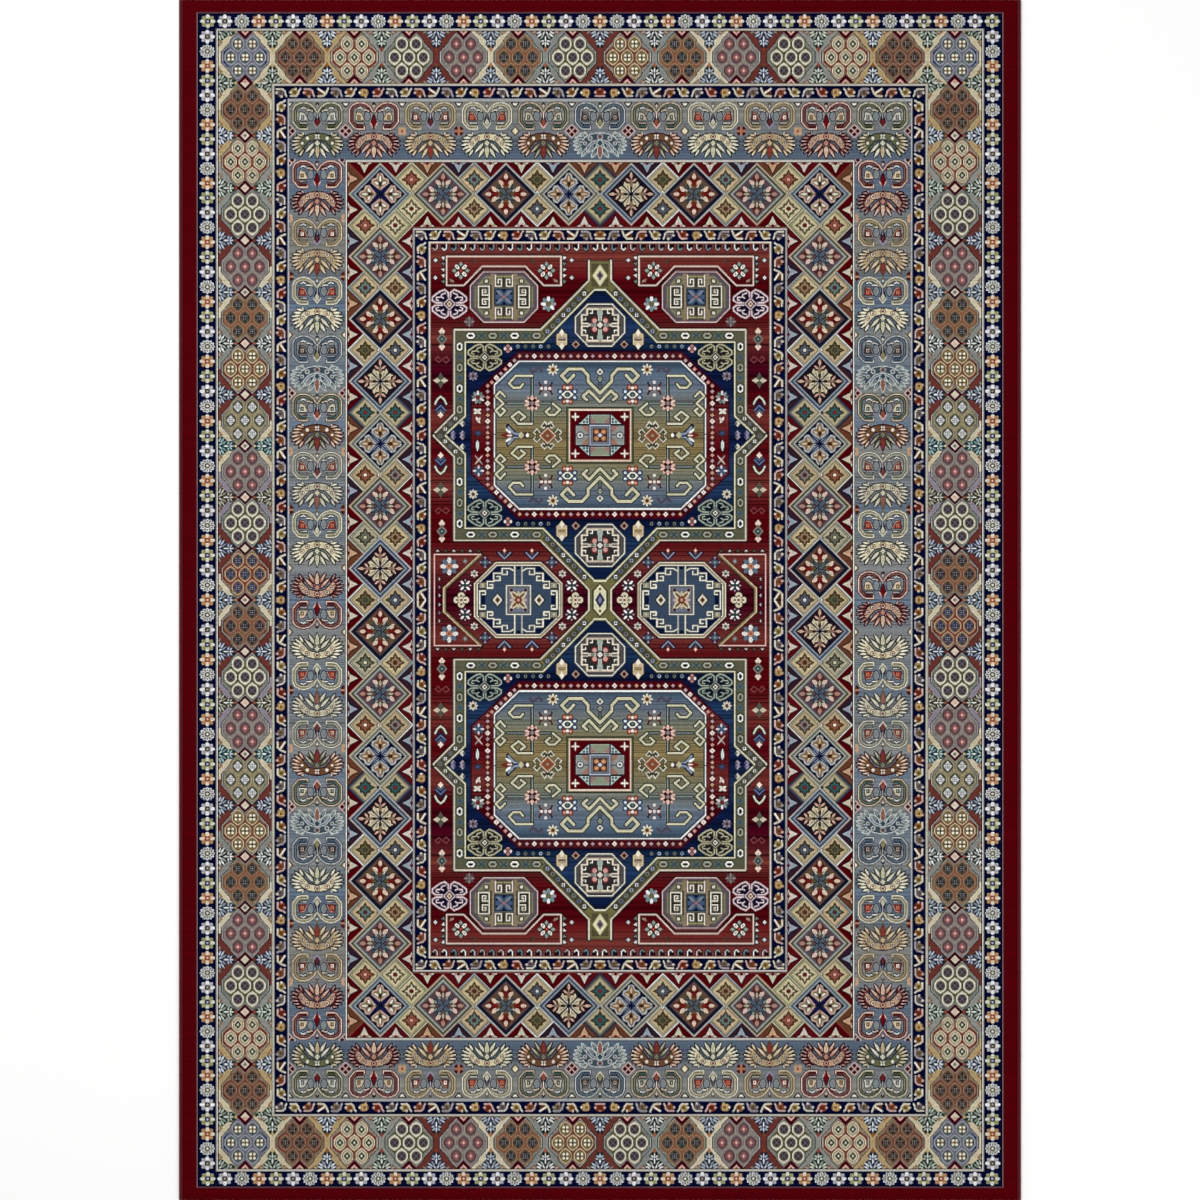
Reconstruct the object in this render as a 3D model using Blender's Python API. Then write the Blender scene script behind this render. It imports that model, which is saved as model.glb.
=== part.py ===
"""A machine-woven area rug: cut pile on a ground weave with a latex back, serged long sides and taped ends.

The rug lies flat on Z = 0 with its length along Y. The origin is the centre of its underside.
Run it with: blender --background --python part.py
"""

import math

import bmesh
import bpy
from mathutils import Vector

# Driving dimensions, in metres.
WIDTH = 2.388  # 7 ft 10 in, over the serged sides
LENGTH = 3.404  # 11 ft 2 in, end to end
BACKCOAT_THICKNESS = 0.0009
GROUND_THICKNESS = 0.0020
PILE_HEIGHT = 0.0090
GAP = 0.0003  # clearance that touching layers keep

# Serged sides: an overcast yarn sleeve, open towards the rug, round a selvedge cord.
SERGING_WIDTH = 0.0110
SERGING_HEIGHT = 0.0086
SERGING_WALL = 0.0013
CORD_RADIUS = 0.0026
ARC_STEPS = 10
CORD_SIDES = 12
SEAT_START = -75  # degrees round the cord, where its seat leaves the slot's floor
SMOOTH_ANGLE = math.radians(40)

# Taped ends: a woven tape on the back over each cut end, held by two rows of lockstitch.
TAPE_WIDTH = 0.040
STITCH_INSET = 0.005
THREAD_WIDTH = 0.0008
THREAD_THICKNESS = 0.0003
GROOVE_DEPTH = 0.0006

# Care label, blank, lying in the back coat near one corner.
LABEL_WIDTH = 0.060
LABEL_LENGTH = 0.040
LABEL_THICKNESS = 0.0004
LABEL_FROM_SIDE = 0.150
LABEL_TACK_INSET = 0.006

PILE_EDGE_ROUND = 0.0030
BEVEL_SEGMENTS = 3

# Levels and edges worked out from them.
GROUND_BOTTOM = BACKCOAT_THICKNESS + GAP
GROUND_TOP = GROUND_BOTTOM + GROUND_THICKNESS
PILE_BOTTOM = GROUND_TOP + GAP
PILE_TOP = PILE_BOTTOM + PILE_HEIGHT
HALF_WIDTH = WIDTH / 2
HALF_LENGTH = LENGTH / 2
PILE_HALF_WIDTH = HALF_WIDTH - SERGING_WIDTH - GAP
CORD_FROM_EDGE = SERGING_WALL + GAP + CORD_RADIUS
CORD_LEVEL = SERGING_HEIGHT / 2
GROUND_HALF_WIDTH = HALF_WIDTH - CORD_FROM_EDGE - CORD_RADIUS - GAP
BACKCOAT_HALF_LENGTH = HALF_LENGTH - TAPE_WIDTH - GAP

PILE_CLARET = (0.082, 0.003, 0.006)
SERGING_CLARET = (0.060, 0.004, 0.008)
JUTE = (0.38, 0.27, 0.15)
LATEX = (0.52, 0.47, 0.38)
POLYESTER = (0.62, 0.58, 0.50)
TAPE_BEIGE = (0.45, 0.36, 0.25)
THREAD_BROWN = (0.20, 0.13, 0.08)
LABEL_WHITE = (0.80, 0.79, 0.76)


def clear_scene():
    for obj in list(bpy.data.objects):
        bpy.data.objects.remove(obj)


def material(name, colour, roughness):
    """A plain non-metal surface."""
    made = bpy.data.materials.new(name)
    made.use_nodes = True
    shader = made.node_tree.nodes["Principled BSDF"]
    shader.inputs["Base Color"].default_value = (*colour, 1.0)
    shader.inputs["Roughness"].default_value = roughness
    shader.inputs["Metallic"].default_value = 0.0
    return made


def add_object(name, mesh, surface, parent):
    obj = bpy.data.objects.new(name, mesh)
    obj.data.materials.append(surface)
    bpy.context.scene.collection.objects.link(obj)
    obj.parent = parent
    return obj


def prism(name, outline, direction, surface, parent):
    """A solid with this outline, a closed loop of points, extruded along direction."""
    shape = bmesh.new()
    face = shape.faces.new([shape.verts.new(point) for point in outline])
    swept = bmesh.ops.extrude_face_region(shape, geom=[face])
    moved = [item for item in swept["geom"] if isinstance(item, bmesh.types.BMVert)]
    bmesh.ops.translate(shape, verts=moved, vec=direction)
    bmesh.ops.recalc_face_normals(shape, faces=shape.faces)
    mesh = bpy.data.meshes.new(name)
    shape.to_mesh(mesh)
    shape.free()
    return add_object(name, mesh, surface, parent)


def slab(name, low, high, surface, parent):
    """A box between two corners."""
    outline = [
        Vector((low[0], low[1], low[2])),
        Vector((high[0], low[1], low[2])),
        Vector((high[0], high[1], low[2])),
        Vector((low[0], high[1], low[2])),
    ]
    return prism(name, outline, Vector((0, 0, high[2] - low[2])), surface, parent)


def arc(centre, radius_across, radius_up, start, end, steps):
    """Points on an ellipse, as (across, up), from one angle in degrees to another."""
    points = []
    for step in range(steps + 1):
        angle = math.radians(start + (end - start) * step / steps)
        across = centre[0] + radius_across * math.cos(angle)
        points.append((across, centre[1] + radius_up * math.sin(angle)))
    return points


def make_pile(parent):
    """The cut pile, one block with a soft rounded rim."""
    pile = slab(
        "pile",
        (-PILE_HALF_WIDTH, -HALF_LENGTH, PILE_BOTTOM),
        (PILE_HALF_WIDTH, HALF_LENGTH, PILE_TOP),
        material("pile_yarn", PILE_CLARET, 0.95),
        parent,
    )
    shape = bmesh.new()
    shape.from_mesh(pile.data)
    rim = [e for e in shape.edges if all(v.co.z > PILE_TOP - GAP for v in e.verts)]
    bmesh.ops.bevel(
        shape,
        geom=rim,
        offset=PILE_EDGE_ROUND,
        segments=BEVEL_SEGMENTS,
        profile=0.5,
        affect="EDGES",
    )
    shape.to_mesh(pile.data)
    shape.free()
    return pile


def make_ground_weave(parent):
    """Warp and weft as one sheet. Its long edges run into the serging, up to the cord."""
    return slab(
        "ground_weave",
        (-GROUND_HALF_WIDTH, -HALF_LENGTH, GROUND_BOTTOM),
        (GROUND_HALF_WIDTH, HALF_LENGTH, GROUND_TOP),
        material("ground_yarn", JUTE, 0.9),
        parent,
    )


def label_box():
    """Low and high corners of the care label, beside the tape at one end."""
    left = -HALF_WIDTH + LABEL_FROM_SIDE
    front = -BACKCOAT_HALF_LENGTH + GAP
    low = Vector((left, front, 0))
    return low, low + Vector((LABEL_WIDTH, LABEL_LENGTH, LABEL_THICKNESS))


def make_backcoat(parent):
    """The latex coat, with a shallow pocket that the label has pressed into it."""
    coat = slab(
        "latex_backcoat",
        (-PILE_HALF_WIDTH, -BACKCOAT_HALF_LENGTH, 0),
        (PILE_HALF_WIDTH, BACKCOAT_HALF_LENGTH, BACKCOAT_THICKNESS),
        material("latex", LATEX, 0.7),
        parent,
    )
    low, high = label_box()
    room = Vector((GAP, GAP, GAP))
    cutter = slab(
        "label_pocket_cutter",
        low - room - Vector((0, BACKCOAT_THICKNESS, BACKCOAT_THICKNESS)),
        high + room,
        coat.data.materials[0],
        parent,
    )
    cutter.hide_render = True
    cutter.display_type = "WIRE"
    pocket = coat.modifiers.new("label_pocket", "BOOLEAN")
    pocket.operation = "DIFFERENCE"
    pocket.object = cutter
    return coat


def make_care_label(parent):
    low, high = label_box()
    tack_low = low.y + LABEL_TACK_INSET
    surface = material("label_fabric", LABEL_WHITE, 0.8)
    label = slab("care_label", low, high, surface, parent)
    # The tack runs across the label in a slot that goes right through it.
    slot_half = THREAD_WIDTH / 2 + GAP
    cutter = slab(
        "label_tack_cutter",
        (low.x + LABEL_TACK_INSET, tack_low - slot_half, -GAP),
        (high.x - LABEL_TACK_INSET, tack_low + slot_half, high.z + GAP),
        surface,
        parent,
    )
    cutter.hide_render = True
    cutter.display_type = "WIRE"
    slot = label.modifiers.new("tack_slot", "BOOLEAN")
    slot.operation = "DIFFERENCE"
    slot.object = cutter
    inset = LABEL_TACK_INSET + GAP
    slab(
        "care_label_tack",
        (low.x + inset, tack_low - THREAD_WIDTH / 2, 0),
        (high.x - inset, tack_low + THREAD_WIDTH / 2, THREAD_THICKNESS),
        material("label_thread", THREAD_BROWN, 0.8),
        parent,
    )
    return label


def serging_outline(side):
    """The sleeve's section in XZ: a rounded rim outside, a cord seat and a slot inside."""
    inner = SERGING_WIDTH
    middle = SERGING_WIDTH / 2
    half = SERGING_HEIGHT / 2
    seat_radius = CORD_RADIUS + GAP
    slot_low = GROUND_BOTTOM - GAP
    slot_high = GROUND_TOP + GAP
    seat_centre = (CORD_FROM_EDGE, CORD_LEVEL)
    roof_angle = math.degrees(math.asin((slot_high - CORD_LEVEL) / seat_radius))
    section = [(inner, slot_high), (inner, half + GROUND_THICKNESS)]
    section += arc((middle, half), middle, half, 90, 270, ARC_STEPS)
    section += [(inner, 0), (inner, slot_low)]
    # In along the slot's floor, round the cord's seat, and back out along the slot's roof.
    mouth = seat_centre[0] + seat_radius * math.cos(math.radians(roof_angle))
    section.append((mouth, slot_low))
    section += arc(
        seat_centre, seat_radius, seat_radius, SEAT_START, roof_angle - 360, ARC_STEPS
    )
    return [Vector((side * (HALF_WIDTH - x), -HALF_LENGTH, z)) for x, z in section]


def make_side(side, name, parent, yarn, cord_yarn):
    """One long side: the serging yarn's sleeve and the cord inside it."""
    along = Vector((0, LENGTH, 0))
    sleeve = prism(f"side_serging_{name}", serging_outline(side), along, yarn, parent)
    last = 360 - 360 / CORD_SIDES
    ring = arc(
        (CORD_FROM_EDGE, CORD_LEVEL), CORD_RADIUS, CORD_RADIUS, 0, last, CORD_SIDES - 1
    )
    outline = [Vector((side * (HALF_WIDTH - x), -HALF_LENGTH, z)) for x, z in ring]
    cord = prism(f"selvedge_cord_{name}", outline, along, cord_yarn, parent)
    for piece in (sleeve, cord):
        piece.data.shade_smooth()
        piece.data.set_sharp_from_angle(angle=SMOOTH_ANGLE)


def make_end(end, name, parent, weave, thread):
    """One short end: the tape with two stitch grooves, and a row of thread in each."""
    outer = HALF_LENGTH
    inner = HALF_LENGTH - TAPE_WIDTH
    rows = {"outer": outer - STITCH_INSET, "inner": inner + STITCH_INSET}
    groove_half = THREAD_WIDTH / 2 + GAP
    section = [(inner, 0)]
    for row in ("inner", "outer"):
        low, high = rows[row] - groove_half, rows[row] + groove_half
        section += [(low, 0), (low, GROOVE_DEPTH), (high, GROOVE_DEPTH), (high, 0)]
    section += [(outer, 0), (outer, BACKCOAT_THICKNESS), (inner, BACKCOAT_THICKNESS)]
    outline = [Vector((-PILE_HALF_WIDTH, end * y, z)) for y, z in section]
    across = Vector((2 * PILE_HALF_WIDTH, 0, 0))
    prism(f"hem_tape_{name}", outline, across, weave, parent)
    for row, y in rows.items():
        slab(
            f"hem_stitch_{name}_{row}",
            (-PILE_HALF_WIDTH, end * y - THREAD_WIDTH / 2, 0),
            (PILE_HALF_WIDTH, end * y + THREAD_WIDTH / 2, THREAD_THICKNESS),
            thread,
            parent,
        )


def main():
    clear_scene()
    rug = bpy.data.objects.new("rug", None)
    bpy.context.scene.collection.objects.link(rug)
    make_pile(rug)
    make_ground_weave(rug)
    make_backcoat(rug)
    make_care_label(rug)
    yarn = material("serging_yarn", SERGING_CLARET, 0.85)
    cord_yarn = material("cord_polyester", POLYESTER, 0.8)
    for side, name in ((-1, "left"), (1, "right")):
        make_side(side, name, rug, yarn, cord_yarn)
    weave = material("hem_tape", TAPE_BEIGE, 0.85)
    thread = material("hem_thread", THREAD_BROWN, 0.8)
    for end, name in ((-1, "near"), (1, "far")):
        make_end(end, name, rug, weave, thread)


main()
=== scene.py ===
"""An area rug's finished look: cut pile woven with a Persian-style pattern, on its ground weave.

A small loom draws one quarter of the pattern in knots and turns it into a colour for each knot.
The pile is a mesh with a face for each knot. The other pieces follow the frame's boxes.
"""

import math

import bmesh
import bpy
import numpy as np
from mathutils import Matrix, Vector


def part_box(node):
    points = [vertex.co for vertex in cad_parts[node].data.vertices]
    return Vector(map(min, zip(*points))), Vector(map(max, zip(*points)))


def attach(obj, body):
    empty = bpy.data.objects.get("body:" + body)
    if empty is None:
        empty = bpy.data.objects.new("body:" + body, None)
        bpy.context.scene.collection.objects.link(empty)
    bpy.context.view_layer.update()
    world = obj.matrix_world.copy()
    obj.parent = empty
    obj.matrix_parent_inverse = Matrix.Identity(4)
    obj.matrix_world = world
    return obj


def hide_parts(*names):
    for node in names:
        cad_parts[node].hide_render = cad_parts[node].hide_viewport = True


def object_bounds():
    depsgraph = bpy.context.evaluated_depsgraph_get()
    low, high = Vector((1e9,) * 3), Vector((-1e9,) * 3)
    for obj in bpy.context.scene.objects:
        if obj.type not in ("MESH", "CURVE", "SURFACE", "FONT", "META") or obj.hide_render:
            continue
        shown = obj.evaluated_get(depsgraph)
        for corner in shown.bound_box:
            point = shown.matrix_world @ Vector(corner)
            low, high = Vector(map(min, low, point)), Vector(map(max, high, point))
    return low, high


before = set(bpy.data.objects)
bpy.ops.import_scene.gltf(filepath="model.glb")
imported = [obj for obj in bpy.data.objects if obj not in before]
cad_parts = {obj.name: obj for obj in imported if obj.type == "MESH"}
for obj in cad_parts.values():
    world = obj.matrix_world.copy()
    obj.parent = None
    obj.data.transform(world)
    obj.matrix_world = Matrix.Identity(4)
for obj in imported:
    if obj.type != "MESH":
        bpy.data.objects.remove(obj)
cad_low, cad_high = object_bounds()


FINE = 3  # samples per knot each way
HALF_W = 421
HALF_L = 600

INK = (16, 17, 24)
NIGHT = (22, 27, 45)
NAVY = (5, 13, 50)
ROYAL = (16, 40, 95)
CLARET = (83, 3, 12)
WINE = (68, 6, 22)
BRICK = (122, 44, 38)
RED = (140, 30, 28)
RUST = (158, 78, 42)
TERRA = (172, 92, 64)
UMBER = (58, 40, 30)
MOSS = (72, 74, 50)
SLATE = (70, 86, 112)
STEEL = (98, 116, 140)
GREY = (128, 130, 124)
CREAM = (212, 203, 176)
IVORY = (228, 220, 198)
WHITE = (240, 240, 238)
PINK = (226, 176, 158)
LILAC = (160, 150, 182)


def mix(a, b, t):
    """The colour a share t of the way from a to b."""
    return tuple(x + (y - x) * t for x, y in zip(a, b))


class Cloth:
    """A sheet of colour samples, FINE to a knot, that polygons and lines are drawn on."""

    def __init__(self, left, bottom, right, top):
        self.left, self.bottom = left, bottom
        self.wide = int(round((right - left) * FINE))
        self.high = int(round((top - bottom) * FINE))
        self.samples = np.zeros((self.high, self.wide, 3), np.float32)
        self.limit = (left, bottom, right, top)

    def knots(self):
        """The samples averaged to one colour for each knot."""
        return self.samples.reshape(self.high // FINE, FINE, self.wide // FINE, FINE, 3).mean((1, 3))

    def window(self, low, high):
        """The samples between two corners that lie inside the limit."""
        left, bottom, right, top = self.limit
        x0 = max(math.floor((low[0] - self.left) * FINE), round((left - self.left) * FINE), 0)
        y0 = max(math.floor((low[1] - self.bottom) * FINE), round((bottom - self.bottom) * FINE), 0)
        x1 = min(math.ceil((high[0] - self.left) * FINE), round((right - self.left) * FINE), self.wide)
        y1 = min(math.ceil((high[1] - self.bottom) * FINE), round((top - self.bottom) * FINE), self.high)
        return x0, y0, x1, y1

    def centres(self, x0, y0, x1, y1):
        xs = self.left + (np.arange(x0, x1) + 0.5) / FINE
        ys = self.bottom + (np.arange(y0, y1) + 0.5) / FINE
        return xs, ys

    def paint(self, box, mask, colour):
        x0, y0, x1, y1 = box
        part = self.samples[y0:y1, x0:x1]
        if isinstance(colour, np.ndarray):
            rows = np.broadcast_to(colour[y0:y1, None, :], part.shape)
            part[mask] = rows[mask]
        else:
            part[mask] = colour

    def fill(self, points, colour):
        pts = np.asarray(points, float)
        box = self.window(pts.min(0), pts.max(0))
        x0, y0, x1, y1 = box
        if x1 <= x0 or y1 <= y0:
            return
        xs, ys = self.centres(*box)
        inside = np.zeros((len(ys), len(xs)), bool)
        for (ax, ay), (bx, by) in zip(pts, np.roll(pts, -1, 0)):
            if ay == by:
                continue
            rows = (ay > ys) != (by > ys)
            cross = ax + (bx - ax) * (ys[rows] - ay) / (by - ay)
            inside[rows] ^= xs[None, :] < cross[:, None]
        self.paint(box, inside, colour)

    def stroke(self, points, width, colour, closed=False):
        pts = [tuple(p) for p in points]
        if closed:
            pts.append(pts[0])
        half = width / 2
        for (ax, ay), (bx, by) in zip(pts, pts[1:]):
            box = self.window((min(ax, bx) - half, min(ay, by) - half),
                              (max(ax, bx) + half, max(ay, by) + half))
            x0, y0, x1, y1 = box
            if x1 <= x0 or y1 <= y0:
                continue
            xs, ys = self.centres(*box)
            dx, dy = bx - ax, by - ay
            along = ((xs[None, :] - ax) * dx + (ys[:, None] - ay) * dy) / max(dx * dx + dy * dy, 1e-9)
            along = np.clip(along, 0, 1)
            off = (xs[None, :] - ax - along * dx) ** 2 + (ys[:, None] - ay - along * dy) ** 2
            self.paint(box, off <= half * half, colour)


class Pen:
    """Draws on a cloth in a motif's own axes."""

    def __init__(self, cloth, x=0, y=0, a=(1, 0), b=(0, 1)):
        self.cloth, self.x, self.y, self.a, self.b = cloth, x, y, a, b
        self.size = math.sqrt(abs(a[0] * b[1] - a[1] * b[0]))

    def place(self, x, y):
        return self.x + self.a[0] * x + self.b[0] * y, self.y + self.a[1] * x + self.b[1] * y

    def at(self, x, y, turn=0, sx=1, sy=1):
        px, py = self.place(x, y)
        c, s = math.cos(math.radians(turn)), math.sin(math.radians(turn))
        ax = self.place(c * sx, s * sx)
        ay = self.place(-s * sy, c * sy)
        return Pen(self.cloth, px, py, (ax[0] - self.x, ax[1] - self.y), (ay[0] - self.x, ay[1] - self.y))

    def poly(self, points, colour, edge=None, width=1.0):
        pts = [self.place(*p) for p in points]
        if edge is not None:
            self.cloth.stroke(pts, width * 2 * self.size, edge, True)
        self.cloth.fill(pts, colour)

    def line(self, points, width, colour, closed=False, edge=None, rim=1.0):
        pts = [self.place(*p) for p in points]
        if edge is not None:
            self.cloth.stroke(pts, (width + 2 * rim) * self.size, edge, closed)
        self.cloth.stroke(pts, width * self.size, colour, closed)

    def box(self, x0, y0, x1, y1, colour, edge=None, width=1.0):
        self.poly([(x0, y0), (x1, y0), (x1, y1), (x0, y1)], colour, edge, width)

    def boxes(self, rings, edge=None, width=1.0):
        """Boxes one on another round the pen's place; rings are (half width, half height, colour)."""
        for rx, ry, colour in rings:
            self.box(-rx, -ry, rx, ry, colour, edge, width)

    def diamond(self, x, y, rx, ry, colour, edge=None, width=1.0):
        self.poly([(x - rx, y), (x, y + ry), (x + rx, y), (x, y - ry)], colour, edge, width)

    def diamonds(self, x, y, rings):
        """Diamonds one on another; rings are (half width, half height, colour)."""
        for rx, ry, colour in rings:
            self.diamond(x, y, rx, ry, colour)

    def disc(self, x, y, rx, colour, ry=None, edge=None, width=1.0, turn=0):
        ry = rx if ry is None else ry
        c, s = math.cos(math.radians(turn)), math.sin(math.radians(turn))
        pts = []
        for k in range(16):
            u, v = rx * math.cos(k * math.pi / 8), ry * math.sin(k * math.pi / 8)
            pts.append((x + c * u - s * v, y + s * u + c * v))
        self.poly(pts, colour, edge, width)

    def leaf(self, x0, y0, x1, y1, width, colour, edge=None, rim=1.0):
        """A pointed leaf from one end to the other."""
        dx, dy = x1 - x0, y1 - y0
        pts = []
        for t, w in ((0, 0), (0.25, 0.8), (0.5, 1), (0.8, 0.6), (1, 0), (0.8, -0.6), (0.5, -1),
                     (0.25, -0.8)):
            n = w * width / 2 / max(math.hypot(dx, dy), 1e-9)
            pts.append((x0 + dx * t - dy * n, y0 + dy * t + dx * n))
        self.poly(pts, colour, edge, rim)

    def both(self):
        """The pen and its mirror image in the motif's upright axis."""
        return self, self.at(0, 0, sx=-1)

    def four(self):
        return [self.at(0, 0, sx=i, sy=j) for i in (1, -1) for j in (1, -1)]


def streaks(cloth, stops, seed, strength=0.10, fine=0.05, threads=0.0):
    """A colour for each row of samples: blended stops (y, colour), with dye bands across the rug.

    threads is how much darker the odd thread is.
    """
    rng = np.random.default_rng(seed)
    ys = cloth.bottom + (np.arange(cloth.high) + 0.5) / FINE
    stops = sorted(stops, key=lambda s: s[0])
    at = [s[0] for s in stops]
    out = np.stack([np.interp(ys, at, [s[1][k] for s in stops]) for k in range(3)], 1)
    knots = np.arange(-2, int(ys[-1] - ys[0]) + 6)
    wave = np.interp(ys - ys[0], knots, rng.normal(0, 1, len(knots)) * fine)
    slow = np.arange(-2, int((ys[-1] - ys[0]) / 5) + 6)
    wave += np.interp((ys - ys[0]) / 5, slow, rng.normal(0, 1, len(slow)) * strength)
    odd = (rng.random(len(knots)) < 0.22) * threads
    wave -= odd[(ys - ys[0]).astype(int)]
    return (out * (1 + wave[:, None])).clip(0, 255).astype(np.float32)

# ---------------------------------------------------------------- figures of the borders

ROSETTES = {
    "amber": ((84, 52, 48), ((220, 204, 178), (192, 136, 84)), (140, 62, 32), (236, 180, 150), 8),
    "lace": ((88, 92, 90), ((204, 204, 202), (182, 184, 176)), (84, 78, 52), (226, 222, 212), 12),
    "white": ((66, 68, 70), ((222, 224, 228), (172, 170, 172)), (46, 32, 24), (168, 150, 132), 8),
    "green": ((66, 70, 56), ((208, 208, 184), (156, 156, 100)), (30, 26, 50), (176, 172, 218), 8),
}


def rosette(pen, kind):
    """A flower of the outer guard, a little flattened."""
    base, petals, ring, heart, count = ROSETTES[kind]
    pen = pen.at(0, 0, sy=0.9)
    pen.disc(0, 0, 6.6, base)
    for k in range(count):
        petal = pen.at(0, 0, turn=90 + 360 * k / count)
        petal.disc(5.0, 0, 2.7, petals[k % 2], ry=8.6 / count + 1.0)
        if kind == "lace":
            petal.box(4.0, -0.45, 6.0, 0.45, (66, 70, 66))
    pen.disc(0, 0, 2.8, ring)
    pen.disc(0, 0, 1.3, heart)


HOOKS = (
    ("block", (196, 160, 100), (140, 98, 54)),
    ("cup", (202, 192, 160), (150, 94, 44)),
    ("swirl", (160, 148, 148), (122, 100, 72)),
    ("slash", (202, 192, 160), (92, 48, 26)),
    ("seven", (206, 158, 140), (134, 72, 36)),
    ("cup", (206, 196, 166), (164, 136, 78)),
    ("seven", (200, 190, 160), (112, 98, 102)),
    ("cup", (206, 158, 140), (124, 46, 28)),
)


def hook(pen, kind):
    """A hook of the two guards on either side of the palmettes and the lattice."""
    form, line, core = HOOKS[kind % len(HOOKS)]
    if form == "block":
        pen.disc(-0.6, 0.0, 5.0, core, ry=4.2)
        pen.box(-3.2, -3.0, 2.8, 3.0, line)
        pen.box(-1.2, -1.4, 1.6, 1.2, core)
        pen.disc(-4.6, -0.2, 1.3, IVORY)
        pen.disc(1.2, -3.8, 1.4, line)
    elif form == "cup":
        pen.disc(-1.2, 0.6, 4.0, core, ry=3.6)
        pen.disc(-0.4, 0.2, 1.7, mix(core, UMBER, 0.55))
        pen.line([(-4.4, -3.4), (1.0, -3.6), (3.2, -1.0), (3.8, 1.8), (5.4, 3.8)], 1.9, line)
        pen.disc(-4.6, 0.2, 1.4, line)
        pen.disc(0.6, 3.5, 1.3, line)
    elif form == "slash":
        pen.poly([(-5.2, 3.6), (2.8, 2.4), (1.2, -2.6), (-4.8, -3.6)], core)
        pen.line([(-4.6, -3.6), (0.8, -3.4), (3.2, -0.8), (5.2, 4.0)], 2.1, line)
        pen.line([(-4.6, 3.6), (1.4, -0.4)], 2.0, IVORY)
    else:
        pen.poly([(-4.8, 2.0), (2.2, 1.6), (2.4, -3.4), (-2.8, -4.0)], core)
        pen.disc(-0.6, -0.6, 1.5, mix(core, UMBER, 0.5))
        wide = 2.3 if form == "swirl" else 1.9
        pen.line([(-4.6, 3.4), (1.2, 3.4), (3.6, 1.4), (4.2, -1.6), (5.2, -3.6)], wide, line)
        pen.disc(-4.8, -0.2, 1.4, line)
        pen.disc(0.2, -3.9, 1.4, line)


CELL = ((0, 8.4), (4.2, 5.4), (6.3, 2.4), (6.3, -2.4), (4.2, -5.4),
        (0, -8.4), (-4.2, -5.4), (-6.3, -2.4), (-6.3, 2.4), (-4.2, 5.4))


def cell(pen, rim, body, kind, mark):
    """One of the seven cells in a medallion."""
    pen.poly(CELL, rim)
    if kind == "round":
        pen.disc(0, 0, 4.7, body, ry=5.0)
        for i in (-2.4, 0, 2.4):
            for j in (-2.4, 0, 2.4):
                if abs(i) + abs(j) < 4.7:
                    pen.disc(i, j, 0.95, mark if (i + j) % 4.8 == 0 else (52, 34, 40))
        return
    pen.poly([(x * 0.82, y * 0.8) for x, y in CELL], mix(body, INK, 0.45))
    pen.poly([(x * 0.7, y * 0.7) for x, y in CELL], body)
    if kind == "dots":
        for i in (-1.9, 1.9):
            for j in (-1.9, 1.9):
                pen.disc(i, j, 1.45, IVORY)
        pen.box(-3.2, -0.6, 3.2, 0.6, mark)
        pen.box(-0.6, -3.2, 0.6, 3.2, mark)
    elif kind == "checks":
        pen.diamond(0, 0, 4.6, 5.4, mark)
        for i in (-1.8, 0, 1.8):
            for j in (-1.8, 0, 1.8):
                pen.disc(i, j, 0.6, mix(body, IVORY, 0.35))
    else:
        pen.diamond(0, 0, 3.6, 4.2, mark)
        pen.diamond(0, 0, 1.5, 1.8, (212, 190, 172) if kind == "diamond" else body)


LOZENGE = ((0, 18.6), (7.2, 25.6), (14.6, 18.0), (15.4, 15.2), (24.4, 5.2), (24.4, 0))

# pale and dark rim bands, lattice, cell rim, cell body, mark, mark colour, side wedge
MEDALLIONS = (
    (((150, 150, 160), (92, 96, 104)), (120, 124, 140), (158, 160, 172), (92, 104, 98), "dots",
     (120, 76, 34), ROYAL),
    (((168, 148, 120), (96, 84, 66)), (122, 70, 54), (160, 112, 88), (112, 96, 76), "checks", (44, 34, 36),
     BRICK),
    (((176, 166, 140), (110, 92, 78)), (132, 48, 38), (214, 200, 162), (206, 192, 152), "diamond",
     (44, 62, 54), RED),
    (((156, 160, 156), (96, 96, 84)), (84, 80, 48), (210, 204, 176), (88, 82, 84), "round", (92, 98, 132),
     GREY),
    (((170, 166, 158), (110, 104, 104)), (170, 164, 150), (142, 118, 114), (104, 84, 86), "diamond",
     (176, 92, 90), GREY),
    (((166, 162, 140), (88, 86, 72)), (158, 88, 60), (164, 120, 88), (104, 94, 70), "checks", (40, 42, 58),
     TERRA),
    (((172, 168, 156), (96, 90, 80)), (128, 66, 48), (206, 178, 130), (136, 116, 72), "dots", (74, 62, 34),
     BRICK),
    (((170, 166, 150), (96, 92, 76)), (196, 176, 132), (150, 140, 100), (72, 78, 60), "checks",
     (206, 206, 214), GREY),
    (((168, 150, 130), (96, 80, 70)), (142, 50, 40), (196, 160, 118), (120, 100, 76), "checks",
     (44, 52, 96), RED),
    (((156, 156, 146), (88, 86, 78)), (160, 84, 58), (160, 120, 90), (110, 92, 70), "checks", (40, 40, 60),
     BRICK),
)
SLATE_CELLS, TERRA_CELLS, BRICK_CELLS, IVORY_CELLS, MAUVE_CELLS = 0, 1, 2, 3, 4
ORANGE_CELLS, TAN_CELLS, SAND_CELLS, RED_CELLS, UMBER_CELLS = 5, 6, 7, 8, 9


def lozenge(inset):
    """A medallion's outline, drawn in by inset knots at its tips."""
    quarter = [(x * (1 - inset / 25), y * (1 - inset / 25)) for x, y in LOZENGE]
    half = quarter + [(x, -y) for x, y in reversed(quarter[:-1])]
    return half + [(-x, y) for x, y in reversed(half[1:-1])]


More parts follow.
